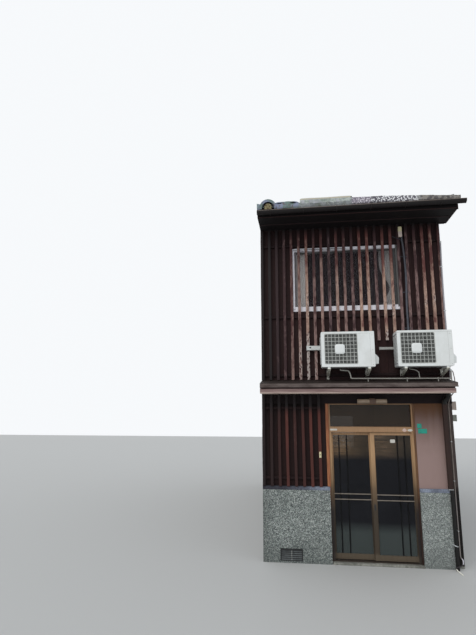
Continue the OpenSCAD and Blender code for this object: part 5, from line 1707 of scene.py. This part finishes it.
drain = Shape()
main_run = upright(DRAIN_Y, (-0.225, 2.806), (-0.215, 2.792), (-0.100, 2.784), (-0.075, 2.730),
    (-0.069, DRAIN_Z + 0.004), (0.6, DRAIN_Z - 0.001), (RISER_X, DRAIN_Z - 0.004))
branch = upright(DRAIN_Y, (0.775, 2.806), (0.860, 2.788), (0.912, 2.760), (0.920, DRAIN_Z))
drain.tube(bent(main_run, 0.022), circle(DRAIN_R, 12))
drain.tube(bent(branch, 0.025), circle(0.006, 10))
drain.rod((RISER_X, DRAIN_Y, SHEET_Z), (RISER_X, DRAIN_Y, 2.790), DRAIN_R)
for x in (0.180, 0.740, 1.180):
    drain.box((x - 0.007, DRAIN_Y - 0.012, SHEET_Z - 0.001), (x + 0.007, DRAIN_Y + 0.012, SHEET_Z + 0.004),
        0.001)
    drain.box((x - 0.006, DRAIN_Y - 0.003, SHEET_Z), (x + 0.006, DRAIN_Y + 0.003, DRAIN_Z - 0.004), 0.001)
    drain.rod((x - 0.006, DRAIN_Y, DRAIN_Z), (x + 0.006, DRAIN_Y, DRAIN_Z), DRAIN_R + 0.003)
drain.piece("drain_line", GREY_PIPE, "grey_plastic", "drain_pipe")
hose = Shape()
hose_path = [(RISER_X, DRAIN_Y, 2.782), (1.392, DRAIN_Y + 0.01, 2.760), (1.4135, -0.285, 2.640),
    (1.4135, -0.240, 2.480), (1.385, -0.110, 2.400), (HOSE_X, HOSE_Y, 2.300), (HOSE_X, HOSE_Y, 0.172),
    (1.381, -0.094, 0.142), (1.376, -0.118, 0.078), (1.262, -0.140, 0.045), (1.276, -0.190, 0.020),
    (1.306, -0.300, 0.008)]
hose.tube(bent(hose_path, 0.06), circle(0.007, 12))
hose.piece("corner_hose", HOSE, "grey_plastic")
hose_clips = Shape()
for z in (0.52, 1.20, 1.75):
    hose_clips.rod((HOSE_X, HOSE_Y, z - 0.005), (HOSE_X, HOSE_Y, z + 0.005), 0.010)
    hose_clips.box((1.349, -0.080, z - 0.004), (1.355, -0.037 if z > DADO_Z else 0.001, z + 0.004), 0.0008)
hose_clips.rod((RISER_X, DRAIN_Y, 2.768), (RISER_X, DRAIN_Y, 2.792), 0.013)
hose_clips.piece("hose_clips", BRIGHT_CLIP, "grey_plastic")

SLAT_FACE = -LATTICE_BACK - SLAT_D
CONDUIT_Y, CORNER_X, CORNER_Y = SLAT_FACE - 0.017, 1.425, SLAT_FACE - 0.012
left_conduit, corner_conduit, conduit_ends = Shape(), Shape(), Shape()
run = upright(CONDUIT_Y, (0.835, 4.930), (0.857, 4.638), (0.868, 4.282), (0.847, 3.795), (0.848, 3.20))
wire = [(0.693, SLAT_FACE - 0.006, 4.945), (0.753, SLAT_FACE - 0.016, 4.905),
    (0.815, SLAT_FACE - 0.032, 4.883), (0.843, SLAT_FACE - 0.030, 4.806), (0.856, CONDUIT_Y, 4.720)]
left_conduit.tube(bent(run, 0.16), circle(0.0165, 12))
left_conduit.tube(bent(wire, 0.04), circle(0.005, 8))
for z in (3.45, 4.02, 4.60):
    left_conduit.box((0.795, SLAT_FACE - 0.002, z - 0.005), (0.902, SLAT_FACE + 0.001, z + 0.005), 0.0008)
left_conduit.piece("lattice_conduit", CONDUIT, "grey_plastic", "wall_conduits")
run = upright(CORNER_Y, (1.412, 2.660), (1.406, 3.784), (1.413, 4.407), (CORNER_X, 4.805))
corner_conduit.tube(bent(run, 0.15), circle(0.0115, 12))
corner_conduit.piece("corner_conduit", CORNER_CONDUIT, "grey_plastic")
conduit_ends.rod((CORNER_X, CORNER_Y, 4.795), (CORNER_X, CORNER_Y, 4.826), 0.014)
for z in (3.008, 3.708, 4.408):
    conduit_ends.box((1.390, SLAT_FACE - 0.0255, z - 0.006), (1.428, SLAT_FACE + 0.001, z + 0.006), 0.002)
conduit_ends.piece("conduit_clips", BRIGHT_CLIP, "grey_plastic")

# A box with a lid that stands out a little, and two like it on the side wall
y0, lid = SLAT_FACE - 0.043, 0.012
junction = Shape().box((0.789, y0 + lid, 4.922), (0.842, SLAT_FACE - 0.0005, 5.090), 0.004)
junction.box((0.7875, y0, 4.9205), (0.8435, y0 + lid + 0.001, 5.0915), 0.004)
junction.piece("junction_box", JUNCTION_BOX, "cream_plastic")
for name, finish, z0, z1, out in (("upper", PINK_BOX, 2.206, 2.330, 0.066),
        ("lower", GREY_BOX, 2.040, 2.133, 0.060)):
    side_box = Shape().box((HALF_W + 0.0005, 0.010, z0), (HALF_W + out - 0.012, 0.090, z1), 0.004)
    side_box.box((HALF_W + out - 0.014, 0.008, z0 - 0.002), (HALF_W + out, 0.092, z1 + 0.002), 0.004)
    side_box.piece(f"side_wall_box_{name}", finish, "grey_plastic")


def duct(x0, x1, z, h):
    """A slim duct cover: a rounded section against the lattice, with a thicker collar at its left end."""
    front, mid = -0.112, z + h / 2
    y, depth = (front + SLAT_FACE) / 2, SLAT_FACE - front
    shape = Shape().tube([(x0 + 0.012, y, mid), (x1, y, mid)], rounded(depth - 0.002, h - 0.004, 0.008, 4))
    return shape.tube([(x0, y, mid), (x0 + 0.030, y, mid)], rounded(depth, h, 0.009, 4))


duct(-0.712, -0.480, 3.121, 0.074).piece("duct_cover_left", WHITE_DUCT, "white_plastic", "duct_covers")
duct(0.397, 0.640, 3.114, 0.044).piece("duct_cover_right", GREY_DUCT, "white_plastic")
# A dark disc paints the shade inside the cover's hole
hole = Shape().rod((-0.655, -0.1135, 3.165), (-0.655, -0.108, 3.165), 0.013, 14)
hole.piece("duct_cover_hole", DARK_METAL, "white_plastic")
print("small pipework done")

# %% [markdown]
# The last fittings: a long porch lamp with a yellowed cover on a bracket, a doorbell on the last slat, two
# plain enamel plates, and bare paper slips on the door. None of them carries any words.

# %% Lamp, doorbell, plates and slips
LAMP_COVER = painted("lamp_cover", (168, 150, 130), (128, 110, 92), 0.45, spec=0.4, scale=20.0)
# The cover's lower half is darker, a painted shade on its underside
LAMP_COVER.tint((96, 80, 66), ("Z", 2.336, 2.304, 0.0, 0.7))
LAMP_BASE = painted("lamp_base", (96, 74, 60), (66, 50, 44), 0.5)
LAMP_Y, LAMP_Z, BASE_X0, BASE_X1 = -0.150, 2.3305, 0.199, 0.297
lamp_cover, lamp_base = Shape(), Shape()
section = rounded(0.074, 0.072, 0.0345, 8)
for x0, x1 in ((0.024, 0.200), (0.296, 0.455)):
    lamp_cover.tube([(x, LAMP_Y, LAMP_Z) for x in (x0, x0 + 0.004, x1)], section, scale=[0.94, 1, 1])
lamp_base.box((BASE_X0, -0.189, 2.294), (BASE_X1, -0.111, 2.367), 0.006)
lamp_base.box((BASE_X0, -0.113, 2.310), (BASE_X1, -0.0255, 2.350), 0.003)
lamp_base.box((0.215, -0.175, 2.366), (0.281, -0.026, 2.378), 0.003)
lamp_cover.piece("porch_lamp_cover", LAMP_COVER, "lamp_plastic", "porch_lamp")
lamp_base.piece("porch_lamp_base", LAMP_BASE, "lamp_plastic")

bell_x = SLAT_X[LONG_SLATS - 1]
bell = Shape().box((bell_x - 0.016, SLAT_FACE - 0.020, 1.498), (bell_x + 0.016, SLAT_FACE - 0.0005, 1.585),
    0.004)
bell.box((bell_x - 0.0135, SLAT_FACE - 0.022, 1.520), (bell_x + 0.0135, SLAT_FACE - 0.018, 1.563), 0.002)
bell.piece("doorbell_case", CREAM, "cream_plastic", "doorbell")
button = Shape().rod((bell_x, SLAT_FACE - 0.021, 1.541), (bell_x, SLAT_FACE - 0.025, 1.541), 0.007, 16)
button.piece("doorbell_button", BAR_METAL, "cream_plastic")

TEAL = painted("teal_enamel", (24, 152, 132), (16, 118, 104), 0.25, spec=0.5)
PLATE_FACE, SCREW_IN = -0.029, 0.008
plates = Shape()
for x0, x1, z0, z1 in ((0.897, 0.961, 1.938, 2.004), (0.906, 1.034, 1.860, 1.930)):
    plates.box((x0, PLATE_FACE, z0), (x1, -0.0255, z1), 0.0012)
    for x in (x0 + SCREW_IN, x1 - SCREW_IN):
        plates.rod((x, -0.0285, (z0 + z1) / 2), (x, -0.0305, (z0 + z1) / 2), 0.0025, 8)
plates.piece("address_plate_pair", TEAL, "teal_enamel", "address_plates")

PAPER = painted("bare_paper", (214, 212, 204), (180, 176, 166), 0.7, spec=0.2, scale=40.0)
PALE_PINK = painted("bare_pink_slip", (214, 190, 180), (190, 160, 150), 0.7, spec=0.2, scale=40.0)


def slip(outline, x, z, y=-0.0010):
    """A sheet of paper 0.8 mm thick, cut to an outline and stuck flat on a surface that faces the street."""
    return Shape().add(*extruded(outline, (x, y, z), (0, 0.0008, 0), u=(1, 0, 0)))


diamond = np.array([(0.036, 0), (0, 0.034), (-0.036, 0), (0, -0.034)])
for end, outline, x, z, paper in (("left", rounded(0.106, 0.026, 0.004, 3), -0.334, 1.909, PAPER),
        ("right", circle(1.0, 20) * [0.040, 0.017], 0.800, 1.905, PAPER),
        ("diamond", diamond, 0.716, 1.905, PALE_PINK)):
    slip(outline, x, z).piece(f"rail_slip_{end}", paper, "wood_tone_aluminium")
pane_slip = slip(rounded(0.072, 0.050, 0.012, 4), 0.538, 1.742, FRONT_TRACK + 0.0110)
pane_slip.piece("pane_slip", PAPER, "wood_tone_aluminium", body=RIGHT_LEAF)
print("fittings done")
